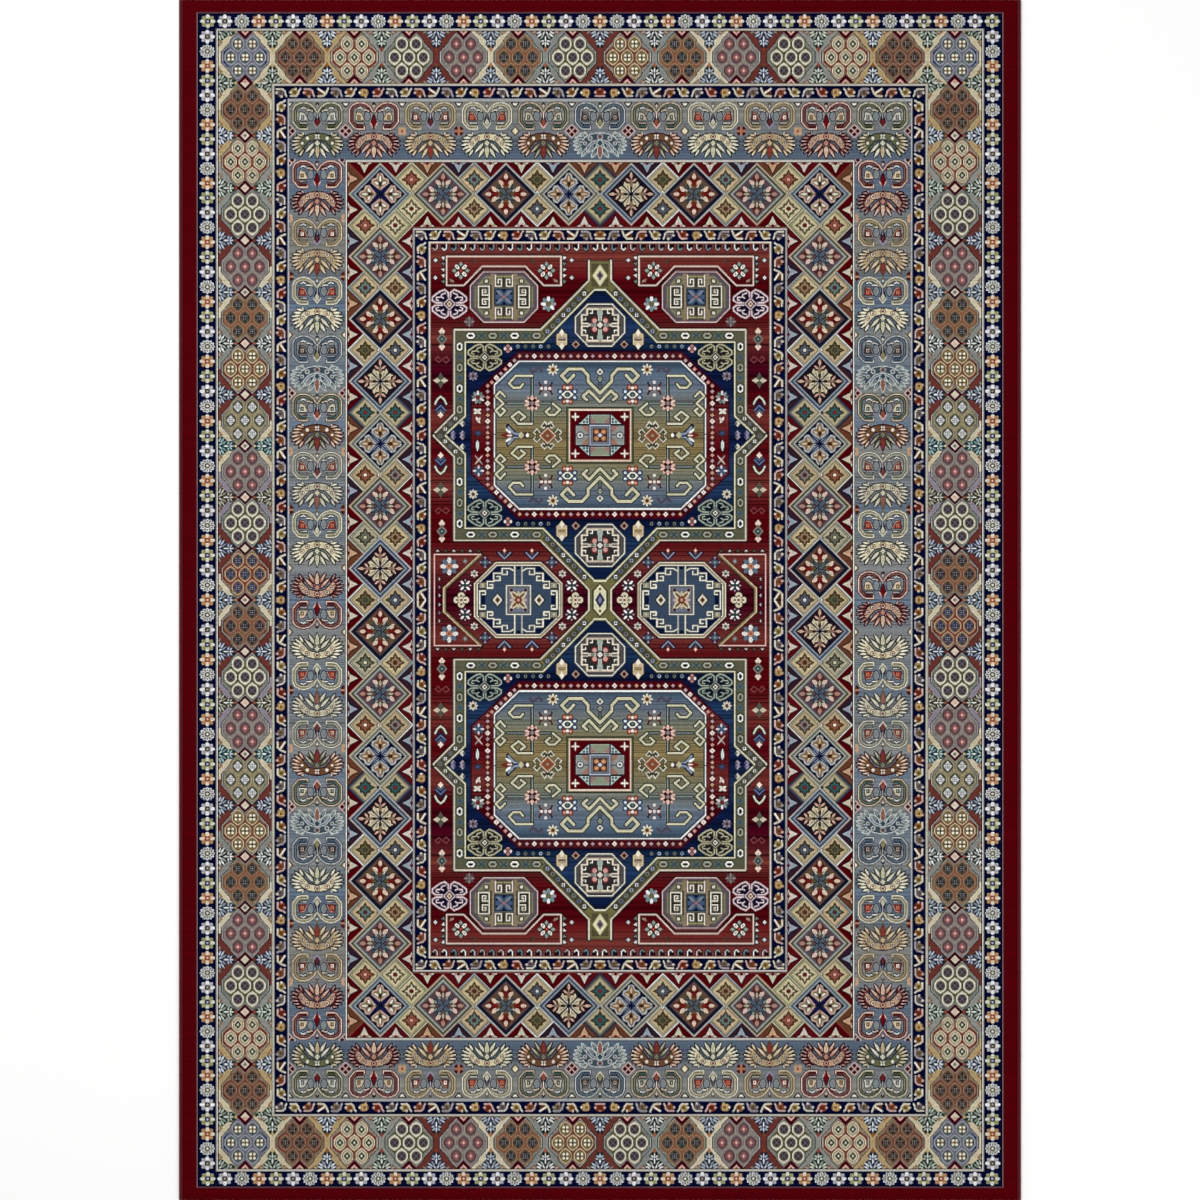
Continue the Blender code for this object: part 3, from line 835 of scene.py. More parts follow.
def lattice(cloth, pen, turned):
    """The border of big diamonds, with pairs of small ones where they meet and half ones at its edges."""
    cloth.limit = (0, 0, 254.9, 440.2)
    nest(pen, INNER_BANDS)
    cloth.limit = (0, 0, 252.2, 437.0)
    for k in range(5):
        x = LATTICE_PITCH_X * k
        for y, flip, kinds in ((437.0, -1, (k, k + 2)), (373.0, 1, (3, 1))):
            edge_triangle(pen.at(x + 15.6, y, sy=flip), kinds[0])
            edge_triangle(pen.at(x + 47, y, sy=flip), kinds[1])
    for j in range(-1, 8):
        y = LATTICE_Y - LATTICE_PITCH_Y * j
        for x, turn, kinds in ((252.2, 90, (1, 2 * j + 2)), (187.4, -90, (2, 3))):
            edge_triangle(pen.at(x, y - 15.6, turn=turn), kinds[0])
            edge_triangle(pen.at(x, y - 47, turn=turn), kinds[1])
    cloth.limit = (0, 371, 252.2, 437.0)
    for k in range(4):
        for kind, away in zip(PAIRS[3 - k], (14.6, -14.6)):
            small_diamond(pen.at(LATTICE_PITCH_X * k, LATTICE_Y + away), kind)
    axis = LEAVES_ON_PLUM if turned else BUDS_ON_NAVY
    for k, kind in enumerate((axis, CURLS_ON_OLIVE, CURLS_ON_MAUVE, BUDS_ON_NIGHT)):
        big_diamond(pen.at(31.2 + LATTICE_PITCH_X * k, LATTICE_Y), kind)
    cloth.limit = (187, 0, 252.2, 437)
    for j, pair in enumerate(PAIRS):
        for kind, away in zip(pair, (15, -15)):
            small_diamond(pen.at(LATTICE_X + away, LATTICE_Y - LATTICE_PITCH_Y * j - 31.2), kind)
    axis = CURLS_ON_OLIVE if turned else LEAVES_ON_PLUM
    for j, kind in enumerate((BUDS_ON_NIGHT, CURLS_ON_MAUVE, CURLS_ON_OLIVE, LEAVES_ON_PLUM, BUDS_ON_NAVY,
                              CURLS_ON_MAUVE, axis)):
        big_diamond(pen.at(LATTICE_X, LATTICE_Y - LATTICE_PITCH_Y * j), kind)


def inner_guard(cloth, pen):
    """The row of hooks round the field, and the field's own edge lines."""
    cloth.limit = (0, 0, 187.0, 371.8)
    nest(pen, GUARD_BANDS)
    for k in range(14):
        hook(pen.at(GUARD_PITCH_X * k, 364.6, sx=-1), k + 1)
    for n in range(1, 28):
        hook(pen.at(178.4, 364.6 - GUARD_PITCH_Y * n, turn=90), 6 - n)
    nest(pen, FIELD_BANDS)


def borders(cloth, pen, turned):
    """The frame round the field; turned is for the two quarters whose figures next to the axes differ."""
    nest(pen, ((HALF_W, HALF_L, CLARET),))
    nest(pen, BANDS)
    outer_border(cloth, pen, turned)
    guards(cloth, pen)
    palmettes(cloth, pen, turned)
    lattice(cloth, pen, turned)
    inner_guard(cloth, pen)
    cloth.limit = (0, 0, HALF_W, HALF_L)



MID = 164.7  # height of the star's own middle above the rug's middle


def ring_flower(pen, radius, petals, heart, count=8, base=None, eye=None, fat=1.0):
    """Petals round a heart; petals is a pair of colours that take turns."""
    if base is not None:
        pen.disc(0, 0, radius * 0.92, base)
    for k in range(count):
        petal = pen.at(0, 0, turn=90 + 360 * k / count)
        petal.disc(radius * 0.66, 0, radius * 0.36, petals[k % len(petals)], ry=radius * 2.0 * fat / count)
    pen.disc(0, 0, radius * 0.34, heart)
    if eye is not None:
        pen.disc(0, 0, radius * 0.16, eye)


HORN = ((0.9, 5.0), (1.3, 11.4), (4.7, 14.2), (9.5, 12.4), (12.6, 10.2), (16.9, 6.8), (17.2, 3.6),
        (13.8, 1.3), (6.5, 1.0))


def horn_star(pen, line, core, heart, inner):
    """A diamond with four pairs of curled horns."""
    for q in pen.four():
        q.poly(HORN, core, edge=core, width=1.3)
        q.line(HORN, 1.9, line)
        q.line([(4.0, 10.8), (7.4, 9.6), (8.6, 7.4), (6.0, 5.8)], 1.5, line)
        q.line([(9.6, 6.6), (12.8, 6.6), (13.4, 4.2), (11.0, 3.4)], 1.4, line)
    pen.diamonds(0, 0, ((7.2, 7.2, core), (6.4, 6.4, line), (4.9, 4.9, inner), (3.2, 3.4, heart),
                        (1.1, 1.2, inner)))


def pendants(pen):
    """The row of teeth that hangs from the field's upper edge."""
    tints = ((226, 224, 218), (150, 150, 150), (196, 160, 160), (96, 140, 150), (170, 170, 172),
             (110, 124, 130), WHITE)
    for k in range(18):
        spot = pen.at(4.9 + 9.43 * k, 354.6)
        tint = tints[(k * 3) % 7]
        spot.poly([(-4.6, 0.6), (3.6, 0.6), (2.6, -4.2), (-0.6, -7.0), (-3.6, -4.0)], (26, 20, 26))
        spot.line([(-2.4, 0.5), (-2.4, -3.2), (-0.4, -5.2), (1.6, -3.4)], 1.5, tint)


def corner_panel(pen, ground):
    """The hat-shaped panel over the key octagon."""
    outline = [(39, 343.2), (153.2, 343.2), (153.2, 314.4), (136, 314.4), (117.6, 333.4), (74.6, 333.4),
               (56.2, 314.4), (39, 314.4)]
    pen.line(outline, 4.4, (40, 24, 26), closed=True)
    pen.poly(outline, ground)
    pen.line(outline, 1.8, (206, 186, 168), closed=True)
    tips = (WHITE, (110, 124, 122), (206, 202, 190))
    for x, away in ((155.6, 1), (36.6, -1)):
        for k in range(5):
            tooth = pen.at(x, 341.0 - 5.9 * k, sx=away)
            tooth.poly([(-0.8, 3.6), (4.2, 2.4), (0.2, -3.0)], (30, 26, 28))
            tooth.poly([(-0.4, 2.4), (3.2, 1.6), (0.2, -1.6)], tips[k % 3])
    for x in (164.4, 28.3):
        for y in (339.5, 322.0):
            pen.disc(x, y, 2.9, (52, 28, 30))
            pen.diamond(x, y, 2.3, 2.3, (196, 202, 196))
    for x in (139.1, 53.5):
        bloom = pen.at(x, 329.1)
        bloom.disc(0, 0, 7.8, (44, 34, 34))
        for k in range(4):
            bloom.at(0, 0, turn=90 * k).diamond(6.6, 0, 2.6, 2.1, (140, 164, 152))
            petal = bloom.at(0, 0, turn=90 * k + 45)
            petal.disc(5.0, 0, 2.9, (228, 222, 212), ry=1.9)
            petal.disc(5.2, 0, 0.9, (150, 140, 130))
        bloom.disc(0, 0, 2.4, (120, 20, 14))
        bloom.disc(0, 0, 1.0, (210, 90, 60))
    for x, y, tint in ((125.6, 338.6, (70, 70, 56)), (67.1, 338.6, (70, 70, 56)),
                       (148.0, 319.0, (170, 150, 120)), (44.2, 319.0, (170, 150, 120))):
        pen.leaf(x - 2.4, y - 1.6, x + 2.2, y + 1.8, 2.2, tint)
        pen.leaf(x + 0.4, y - 2.2, x + 2.6, y + 2.6, 1.8, mix(tint, INK, 0.3))


def octagon(hx, hy, kx, ky):
    """An octagon's corners round (0, 0), with half sizes hx and hy and half sides kx and ky."""
    right = [(kx, hy), (hx, ky), (hx, -ky), (kx, -hy)]
    return right + [(-x, y) for x, y in reversed(right)]


def nested(pen, size, bands):
    """Octagons one inside another; bands are (inset, colour)."""
    hx, hy, kx, ky = size
    for inset, colour in bands:
        cut = inset * 0.41
        pen.poly(octagon(hx - inset, hy - inset, kx - cut, ky - cut), colour)


def key_octagon(pen):
    here = pen.at(96.0, 302.8)
    key, olive, night = (214, 206, 184), (120, 118, 90), (24, 36, 60)
    nested(here, (35.4, 26.8, 21.0, 11.8), (
        (0, (30, 14, 22)), (1.0, (206, 170, 160)), (2.4, (96, 78, 96)), (4.0, (84, 86, 90)),
        (5.2, (110, 104, 96)), (6.6, (150, 136, 104)), (8.0, olive)))
    here.boxes(((26.5, 11.4, olive),))
    for side in here.both():
        side.box(9.4, -23.6, 13.4, 23.6, (150, 128, 96))
    for q in here.four():
        q.box(12.2, -0.5, 27.2, 12.2, (52, 52, 44))
        q.line([(14.8, 0), (14.8, 10.6), (25.6, 10.6), (25.6, 0)], 1.7, key)
        q.line([(14.8, 2.0), (21.6, 2.0), (21.6, 7.2), (18.0, 7.2), (18.0, 4.6), (19.8, 4.6)], 1.5, key)
        q.disc(17.6, 15.8, 2.9, (44, 44, 36))
        q.disc(17.6, 16.0, 1.9, (206, 204, 180))
        q.box(-0.5, 9.6, 9.6, 22.0, (60, 58, 50))
        q.line([(8.6, 21.6), (8.6, 10.8), (2.4, 10.8), (2.4, 17.6), (5.8, 17.6), (5.8, 14.0)], 1.6,
               (216, 206, 190))
        q.box(0, 19.4, 7.6, 21.4, (160, 150, 90))
    here.boxes(((9.6, 8.6, night), (8.6, 7.6, (70, 92, 122))))
    for q in here.four():
        q.leaf(1.0, 1.0, 7.6, 6.6, 3.0, (120, 140, 160))
        q.diamond(7.2, 3.4, 1.6, 1.6, night)
        q.poly([(0, 7.6), (3.0, 7.6), (0, 4.0)], (24, 32, 52))
    for side in here.both():
        side.line([(-4, -3), (4, 3)], 1.1, (176, 120, 116))


STRAP_OUT = ((10.9, 174.4), (10.9, 154.5), (59.6, 105.2), (145.6, 105.2), (145.6, 21.6), (166.2, 1.0),
             (166.2, 0))
STRAP_IN = ((0, 145.3), (5.7, 145.3), (57.0, 93.2), (134.8, 93.2), (134.8, 19.0), (154.2, 0.8), (154.2, 0))


def beads(spots, corners, oval, plain):
    """Six-cornered beads that are bright and plain by turns."""
    for k, spot in enumerate(spots):
        bright = k % 2 == 0
        spot.poly(corners, (222, 222, 212) if bright else plain, edge=(44, 46, 36), width=1.0)
        spot.disc(0, 0, oval[0], INK if bright else (70, 74, 60), ry=oval[1])


def slanting_beads(star, start, end, steps, size, hearts, eye):
    """Small squares turned by 45 degrees, from start towards end; steps are shares of the way."""
    for k, t in enumerate(steps):
        spot = star.at(start[0] + (end[0] - start[0]) * t, start[1] + (end[1] - start[1]) * t, turn=45)
        spot.boxes(((3.0, 3.0, size[2]),), edge=(58, 54, 36), width=0.6)
        spot.diamond(0, 0, size[0], size[0], hearts[k % len(hearts)])
        spot.disc(0, 0, size[1], eye)


def strap(star, navy):
    """The strap that frames the star; drawn for the half of it above its middle."""
    star.line(STRAP_OUT, 4.6, (34, 22, 26))
    star.poly([(0, 174.4), *STRAP_OUT, (0, 0)], (92, 94, 72))
    star.line([(7.3, 149.1), (58.4, 99.6)], 8.6, (118, 112, 66))
    for k in range(5):
        spot = star.at(118.2 - 22.0 * k, 99.4)
        spot.disc(0, 0, 3.2, (74, 96, 104))
        spot.diamond(0, 0, 5.5, 3.6, (84, 104, 108))
        for side in spot.both():
            side.line([(-2.6, -2.4), (2.6, 2.4)], 0.9, (60, 66, 60))
    beads([star.at(129.2 - 22.0 * k, 99.4) for k in range(4)],
          [(-4.9, 0), (-2.6, 3.0), (2.6, 3.0), (4.9, 0), (2.6, -3.0), (-2.6, -3.0)], (2.5, 1.3),
          (160, 160, 140))
    beads([star.at(140.2, 88.4 - 20.9 * k) for k in range(4)],
          [(0, -4.6), (3.0, -2.6), (3.0, 2.6), (0, 4.6), (-3.0, 2.6), (-3.0, -2.6)], (1.4, 2.4),
          (158, 160, 138))
    for k in range(3):
        star.diamonds(140.2, 78.0 - 20.9 * k, ((3.6, 5.0, (84, 100, 104)), (1.6, 2.2, (60, 84, 110))))
    slanting_beads(star, (12.5, 144.8), (54.5, 101.6), [(k + 0.6) / 8 for k in range(8)],
                   (2.5, 0.9, (82, 84, 74)),
                   ((216, 216, 220), (96, 110, 140), (120, 118, 112), (150, 160, 190)), (44, 52, 90))
    slanting_beads(star, (142.0, 18.8), (160.6, 0.2), [(k + 0.45) / 3.6 for k in range(4)],
                   (2.3, 0.8, (86, 88, 78)), ((206, 206, 204), (120, 112, 120)), (60, 60, 60))
    star.line(STRAP_OUT, 1.9, (206, 190, 168))
    star.poly([*STRAP_IN, (0, 0)], navy)
    star.line(STRAP_IN, 3.6, (60, 60, 48))
    star.line(STRAP_IN, 1.8, (206, 202, 164))


def cap(star):
    """The square block that closes the strap at the top of the star."""
    star.box(0, 146.6, 9.9, 173.3, (112, 110, 62))
    star.box(0, 148.6, 8.2, 171.2, (84, 80, 60))
    star.diamonds(0, 159.5, ((9.2, 12.6, (122, 118, 66)), (7.4, 10.6, (222, 216, 172)),
                             (3.6, 5.0, (120, 104, 116)), (1.7, 2.4, (70, 56, 78))))


def coral(pen, x, y, big, k):
    """A small bead on a dark diamond."""
    if big:
        pen.diamonds(x, y, ((4.0, 4.0, (40, 6, 14)), (2.9, 2.9, (246, 220, 206))))
        pen.disc(x, y, 0.7, (200, 120, 100))
    else:
        tint = ((216, 140, 128), (186, 150, 160), (206, 150, 120))[k % 3]
        pen.diamonds(x, y, ((3.2, 3.2, (40, 6, 14)), (2.3, 2.3, tint)))


def red_band(star, claret):
    star.poly([(0, 83.0), (81.6, 83.0), (128.6, 38.5), (128.6, 0), (0, 0)], claret)
    star.line([(0, 83.4), (81.8, 83.4), (128.8, 38.7), (128.8, 0)], 1.2, (50, 8, 30))
    for k in range(12):
        coral(star, 7.3 * k, 79.0, k in (2, 6, 9), k)
    for k in range(1, 7):
        coral(star, 80.6 + 4.5 * k + 0.4, 79.0 - 4.35 * k, k in (2, 5), k)
    for k in range(9):
        coral(star, 112.2, 49.4 - 5.9 * k, k in (3, 6), k)


CARTOUCHE = ((0, 73.7), (80.9, 73.7), (105.5, 50.2), (105.5, 0))


def tulip(pen):
    for side in (pen, pen.at(0, 0, sy=-1)):
        side.line([(-4.5, 0.4), (-0.5, 2.2), (3.0, 6.2), (5.6, 9.0)], 3.8, NIGHT)
        side.line([(-6.2, 0.8), (-0.5, 2.2), (3.0, 6.2), (5.0, 8.4)], 2.2, (140, 160, 184))
        side.leaf(1.6, 2.0, 8.2, 6.4, 3.0, WHITE)
    pen.leaf(0, 0, 12.5, 0, 4.2, (120, 40, 36))
    pen.leaf(0.5, 0, 7.0, 0, 2.2, (226, 206, 196))
    pen.diamond(-7.6, 0, 2.8, 3.4, (200, 190, 150))


def hooked_diamond(pen, body):
    dark, line = (60, 64, 50), (206, 202, 178)
    for q in pen.four():
        q.line([(0.6, 8.2), (3.0, 12.6), (6.0, 10.0), (4.0, 7.6), (2.6, 8.8)], 2.6, dark)
        q.line([(7.2, 2.8), (10.6, 6.2), (13.6, 3.4), (11.8, 1.4)], 2.6, dark)
        q.line([(0.9, 11.2), (3.0, 13.4), (6.6, 9.6), (4.2, 7.4), (2.8, 8.6)], 1.3, line)
        q.line([(7.2, 2.8), (10.6, 6.6), (14.0, 3.4), (12.0, 1.2)], 1.3, line)
    rings = ((9.4, (60, 52, 40)), (8.6, (224, 190, 164)), (7.0, body), (4.4, mix(body, UMBER, 0.35)),
             (3.4, body), (1.5, (150, 160, 160)))
    pen.diamonds(0, 0, [(reach, reach, colour) for reach, colour in rings])


def vine(star):
    """Straps with hooked ends, joined by the claret flower."""
    line, dark = (206, 200, 160), (52, 58, 54)

    def run(points, width=2.3):
        star.line(points, width, line, edge=dark, rim=1.1)

    for points in (((67.8, 59.5), (67.8, 11.5)), ((92.5, 31.8), (46.8, 31.8))):
        star.line(points, 3.6, dark)
        star.line(points, 1.4, (130, 146, 146))
    run([(67.8, 59.2), (84.3, 59.2), (91.0, 51.8), (86.6, 47.4), (79.7, 47.4), (77.0, 51.0)])
    run([(67.8, 11.5), (81.9, 11.5), (88.4, 18.2), (81.3, 23.6), (74.8, 18.2), (79.0, 15.2)])
    run([(47.0, 31.4), (39.9, 25.4), (45.4, 20.2), (50.8, 20.2), (54.3, 23.4), (50.2, 27.0)])
    run([(95.0, 38.6), (99.8, 43.6), (104.2, 39.0), (96.4, 31.7), (104.4, 24.6), (99.6, 19.4), (94.6, 24.4),
         (97.6, 26.6)])
    run([(26.2, 59.8), (32.5, 53.0), (38.4, 59.4), (31.3, 66.2), (17.8, 66.2), (11.8, 59.6), (11.8, 53.8),
         (0, 42.0)], 3.0)
    run([(13.2, 35.2), (17.0, 38.8), (10.9, 44.4), (0, 33.2)], 2.8)
    star.line([(1.1, 55), (1.1, 47)], 0.9, dark)


def blue_and_rust_flower(bloom):
    """Eight petals, blue at the sides and rust above and below, round a spindle."""
    for k in range(8):
        petal = bloom.at(0, 0, turn=22.5 + 45 * k)
        blue = k in (0, 3, 4, 7)
        petal.disc(7.6, 0, 3.4, (40, 66, 100) if blue else (128, 60, 44), ry=2.9)
        petal.disc(7.8, 0, 1.6, (206, 214, 226) if blue else (222, 150, 120))
    for y in (6.6, -6.6):
        bloom.disc(0, y, 1.6, WHITE)
    bloom.poly([(-6.4, 0), (-2.0, 3.8), (2.0, 3.8), (6.4, 0), (2.0, -3.8), (-2.0, -3.8)], (232, 226, 206),
               edge=INK, width=0.7)
    bloom.disc(0, 0, 3.0, (40, 60, 62), ry=2.4)
    bloom.disc(0, 0, 1.2, (90, 130, 130))


def moth(pen):
    for q in pen.four():
        q.poly([(0, 0), (6.6, 5.8), (6.2, 2.2), (3.0, 0)], (98, 34, 34))
        q.poly([(5.0, 6.4), (7.4, 6.2), (6.4, 3.8)], INK)
    for x, y in ((0, 6.4), (0, -6.4), (4.0, 0), (-4.0, 0), (0, 0)):
        pen.disc(x, y, 1.7, (226, 214, 204))


def cartouche(star, ground):
    star.line(CARTOUCHE, 3.0, (60, 6, 16))
    star.poly([*CARTOUCHE, (0, 0)], ground)
    star.line([(x * 0.985, y * 0.975) for x, y in CARTOUCHE], 1.2, (64, 80, 92))
    star.line(CARTOUCHE, 1.7, (232, 230, 224))
    vine(star)
    star.diamond(0, 63.2, 3.9, 3.9, (206, 202, 184), edge=NIGHT, width=0.8)
    star.diamond(0, 63.2, 1.3, 1.3, INK)
    star.diamond(0, 56.2, 2.9, 3.4, (150, 150, 130), edge=NIGHT, width=0.6)
    ring_flower(star.at(47.1, 65.5), 5.8, ((214, 206, 180),), (150, 90, 30), base=(60, 60, 56),
                eye=(90, 20, 10), fat=0.9)
    star.line([(58.0, 64.0), (61.0, 67.8), (64.0, 65.0), (67.0, 62.6), (70.4, 66.4)], 2.6, (82, 76, 92))
    moth(star.at(54.3, 46.6))
    blue_and_rust_flower(star.at(32.5, 40.6))
    rose = star.at(67.8, 32.0)
    ring_flower(rose, 7.8, ((230, 190, 172), (224, 178, 160)), (70, 40, 44), count=10, base=(120, 60, 60))
    for q in rose.four():
        q.diamond(2.6, 3.0, 1.9, 1.9, (70, 10, 18))
    rose.diamond(0, 0, 2.6, 2.6, (140, 130, 130), edge=INK, width=0.5)
    tulip(star.at(86.5, 0.4))
    star.poly([(71.0, 0), (74.2, 3.0), (76.4, 1.6), (74.8, 0)], (40, 34, 40))
    star.disc(72.6, 0.4, 1.6, WHITE)
    hooked_diamond(star.at(52.4, 0.5), (150, 84, 54))


def square(star, claret):
    """The block in the star's middle, a quarter of it on each side of the axes."""
    for wide, high, colour in ((33.6, 28.4, (48, 56, 42)), (32.2, 27.0, (120, 122, 96)),
                               (31.4, 26.2, (222, 192, 164)), (29.6, 24.4, claret)):
        star.box(0, 0, wide, high, colour)
    spark = star.at(24.6, 18.4)
    for k in range(4):
        spark.at(0, 0, turn=90 * k).leaf(0, 0, 4.6, 0, 2.2, (222, 220, 200))
    spark.disc(0, 0, 1.3, (230, 228, 206))
    star.poly([(10.8, 20.8), (21.2, 11.2), (10.8, 11.2)], (170, 190, 186), edge=NIGHT, width=0.7)
    for x, y in ((12.8, 16.2), (12.8, 13.0), (16.0, 13.0)):
        star.disc(x, y, 1.1, (40, 80, 78))
    star.poly([(24.2, 9.8), (24.2, 0), (11.2, 0), (11.2, 9.8)], (150, 158, 150), edge=NIGHT, width=0.7)
    star.poly([(11.6, 1.4), (18.6, 9.6), (11.6, 9.6)], (172, 118, 98))
    star.disc(19.8, 0.2, 3.0, (206, 206, 206), edge=(60, 60, 66), width=0.6)
    star.disc(19.8, 0.2, 1.2, (80, 84, 100))
    star.poly([(0, 20.8), (9.6, 20.8), (9.6, 11.6), (0, 11.6)], (150, 160, 134), edge=NIGHT, width=0.7)
    star.poly([(9.4, 18.4), (9.4, 12.0), (3.4, 12.0)], (176, 124, 120))
    for wide, high, colour in ((11.2, 11.0, (60, 62, 74)), (10.6, 10.2, (172, 184, 206)),
                               (9.4, 9.0, (110, 116, 126)), (7.0, 6.6, (70, 44, 52))):
        star.box(0, 0, wide, high, colour)
    star.disc(3.6, 3.4, 2.6, (196, 120, 60))
    star.disc(3.4, 3.2, 1.3, (226, 170, 110))
    star.poly([(0, 0), (2.4, 0), (0, 2.4)], (190, 206, 236))


def little_octagon(star):
    """The cream octagon with keys near the top of the star, on the rug's long axis."""
    here = star.at(0, 110.1)
    cream, dark, key = (190, 160, 126), (48, 46, 48), (222, 214, 196)
    nested(here, (26.2, 22.6, 12.6, 8.4), (
        (0, (50, 54, 60)), (0.9, (206, 204, 184)), (2.4, (60, 62, 66)), (3.6, (86, 84, 92)),
        (5.6, (72, 66, 50))))
    here.boxes(((14.4, 17.4, cream), (19.0, 10.6, cream), (12.6, 15.6, dark), (17.0, 9.2, dark)))
    for q in here.four():
        q.line([(1.8, 10.5), (1.8, 15.6), (12.4, 15.6), (12.4, 10.2), (18.4, 10.2), (18.4, 1.4),
                (12.0, 1.4)], 1.6, (222, 210, 186))
        q.line([(7.6, 15.0), (7.6, 12.0), (9.6, 12.0)], 1.3, key)
        q.line([(18.0, 5.2), (14.2, 5.2), (14.2, 7.2)], 1.3, key)
        q.poly([(1.6, 7.6), (7.0, 7.6), (8.6, 5.0), (8.6, 1.6)], (150, 44, 40))
        q.disc(5.4, 4.2, 2.4, (226, 160, 150))
        q.box(0, 4, 1.9, 15.6, (164, 184, 172))
        q.box(3, 0, 12.4, 1.6, (206, 190, 168))
        q.disc(7.4, 0, 2.0, (120, 148, 132))
    here.diamonds(0, 0, ((4.6, 4.6, (60, 60, 56)), (3.2, 3.4, (224, 212, 204))))


def side_figures(star):
    """The figures in the point of the strap beside the star, from the top down."""
    for y in (103.6, 88.2):
        star.diamond(158.0, y, 3.4, 4.0, (228, 206, 184))
    star.diamonds(158.0, 96.0, ((5.6, 6.6, (120, 116, 104)), (3.2, 3.6, (44, 60, 62)),
                                (1.3, 1.5, (120, 150, 150))))
    for snake in ([(150.6, 75.2), (153.6, 78.4), (157.0, 76.0), (161.0, 72.8), (164.6, 75.8),
                   (161.8, 78.6), (160.0, 76.4)], [(150.6, 75.2), (153.6, 72.4), (156.0, 74.0)]):
        star.line(snake, 1.3, (122, 60, 64))
    here = star.at(159.2, 0)
    here.diamond(0, 54.6, 7.8, 5.0, (206, 194, 162))
    for y, tip in ((57.0, 63.0), (52.2, 46.4)):
        here.poly([(-3.2, y), (0, tip), (3.2, y), (0, 54.6)], (84, 90, 80))
    hood = [(-5.6, 31.4), (-3.2, 36.0), (0, 38.6), (3.2, 36.0), (5.6, 31.4)]
    here.line(hood, 3.6, (30, 22, 30))
    here.line(hood, 2.0, (206, 208, 180))
    here.poly([(-6.4, 24.6), (-2.6, 30.6), (0, 33.4), (2.6, 30.6), (6.4, 24.6), (0, 20.6)], (26, 30, 66))
    here.line([(-4.8, 24.8), (0, 29.6), (4.8, 24.8)], 1.6, (96, 114, 150))
    here.line([(-3.2, 22.4), (0, 25.4), (3.2, 22.4)], 1.3, (90, 116, 130))
    here.diamond(0, 20.2, 3.0, 3.4, (236, 214, 196))


def navy_figures(star, upper):
    """The figures in the blue between the strap and the claret band."""
    line, core = ((176, 170, 126), (34, 34, 38)) if upper else ((150, 164, 140), (16, 26, 44))
    horn_star(star.at(115.3, 77.8, sx=0.97, sy=0.93), line, core, (206, 200, 176), INK)
    ring_flower(star.at(92.0, 86.4), 4.2, ((206, 120, 110), (226, 196, 190)), (120, 80, 60), count=4,
                fat=0.9)
    berries = ((130, 150, 160), (110, 110, 80), (90, 120, 90), (150, 176, 186), (120, 120, 96))
    for k, tint in enumerate(berries):
        star.disc(82.0 - 7.6 * k, 88.6, 1.9, tint)
        star.disc(82.0 - 7.6 * k, 88.6, 0.8, (30, 34, 50))
    star.diamond(24.2, 90.6, 4.4, 4.4, (176, 140, 120), edge=INK, width=0.7)
    star.diamond(24.2, 90.6, 2.2, 2.4, (70, 24, 16))
    petals = ((110, 96, 120), (150, 140, 160)) if upper else ((206, 196, 170),)
    ring_flower(star.at(126.8, 59.0), 4.8, petals, (90, 60, 50))
    vase = star.at(38.2, 95.8)
    vase.poly([(0, 10.6), (3.0, 6.2), (5.6, 5.0), (5.6, -5.0), (3.0, -6.6), (0, -10.6), (-3.0, -6.6),
               (-5.6, -5.0), (-5.6, 5.0), (-3.0, 6.2)], (206, 184, 140), edge=INK, width=0.9)
    for y in (6.8, -6.8):
        vase.diamond(0, y, 2.6, 3.8, (240, 228, 206))
    vase.box(-3.4, -1.6, 3.4, 1.8, (120, 100, 100) if upper else (150, 130, 80))
    vase.box(-3.0, 0.4, 3.0, 1.4, (184, 164, 150))
    for x, y, tint in ((137.4, 11.6, (214, 206, 180)), (146.6, 1.6, (150, 140, 176)),
                       (137.4, 1.6, (170, 150, 170))):
        star.diamond(x, y, 3.0, 3.4, tint)
        star.diamond(x - 1.4, y, 1.6, 1.8, mix(tint, NIGHT, 0.55))


def ribbon_figures(pen):
    """What lies in the claret strip beside the cartouche, from the top down."""
    ring_flower(pen.at(122.0, 202.4), 6.6, ((206, 212, 212), (96, 124, 118), (150, 150, 150)),
                (130, 40, 44), count=9, base=(30, 20, 30))
    for turn in (35, 145):
        pen.at(122.6, 188.4, turn=turn).disc(0, 0, 4.4, (214, 212, 194), ry=1.6)
    pen.leaf(124.2, 183.2, 119.6, 176.2, 3.0, (226, 222, 206))
    pen.leaf(119.4, 183.0, 122.2, 177.6, 2.6, (206, 200, 190))
    pen.diamonds(122.0, 166.8, ((4.6, 3.8, (52, 56, 60)), (2.2, 2.0, (60, 80, 160))))
    pen.leaf(122.4, 160.2, 122.4, 148.2, 3.6, (196, 214, 206), edge=(30, 10, 16), rim=0.8)
    for turn, tint in ((50, (150, 150, 160)), (130, (206, 190, 170))):
        pen.at(121.2, 140.0, turn=turn).disc(0, 0, 6.2, tint, ry=0.9)
    ring_flower(pen.at(121.4, 129.0), 5.6, ((196, 190, 200), (60, 80, 110)), (70, 96, 130),
                base=(34, 20, 34))


def stepped_keys(here, line):
    """Square hooks climbing round the inside of the big octagon."""
    here.line([(3.6, 34.6), (3.6, 14.6)], 1.4, line)
    for key in ([(3.6, 28.8), (8.6, 31.6), (16.2, 31.6), (16.2, 25.6), (11.2, 25.6), (11.2, 28.6)],
                [(16.2, 26.8), (24.6, 26.8), (24.6, 19.4), (18.4, 19.4), (18.4, 23.4), (21.4, 23.4)],
                [(24.6, 18.6), (31.2, 18.6), (31.2, 12.0), (25.6, 12.0), (25.6, 15.2), (28.4, 15.2)],
                [(38.6, 0), (38.6, 9.0), (33.0, 9.0), (33.0, 5.6), (35.6, 5.6)]):
        here.line(key, 1.7, line)


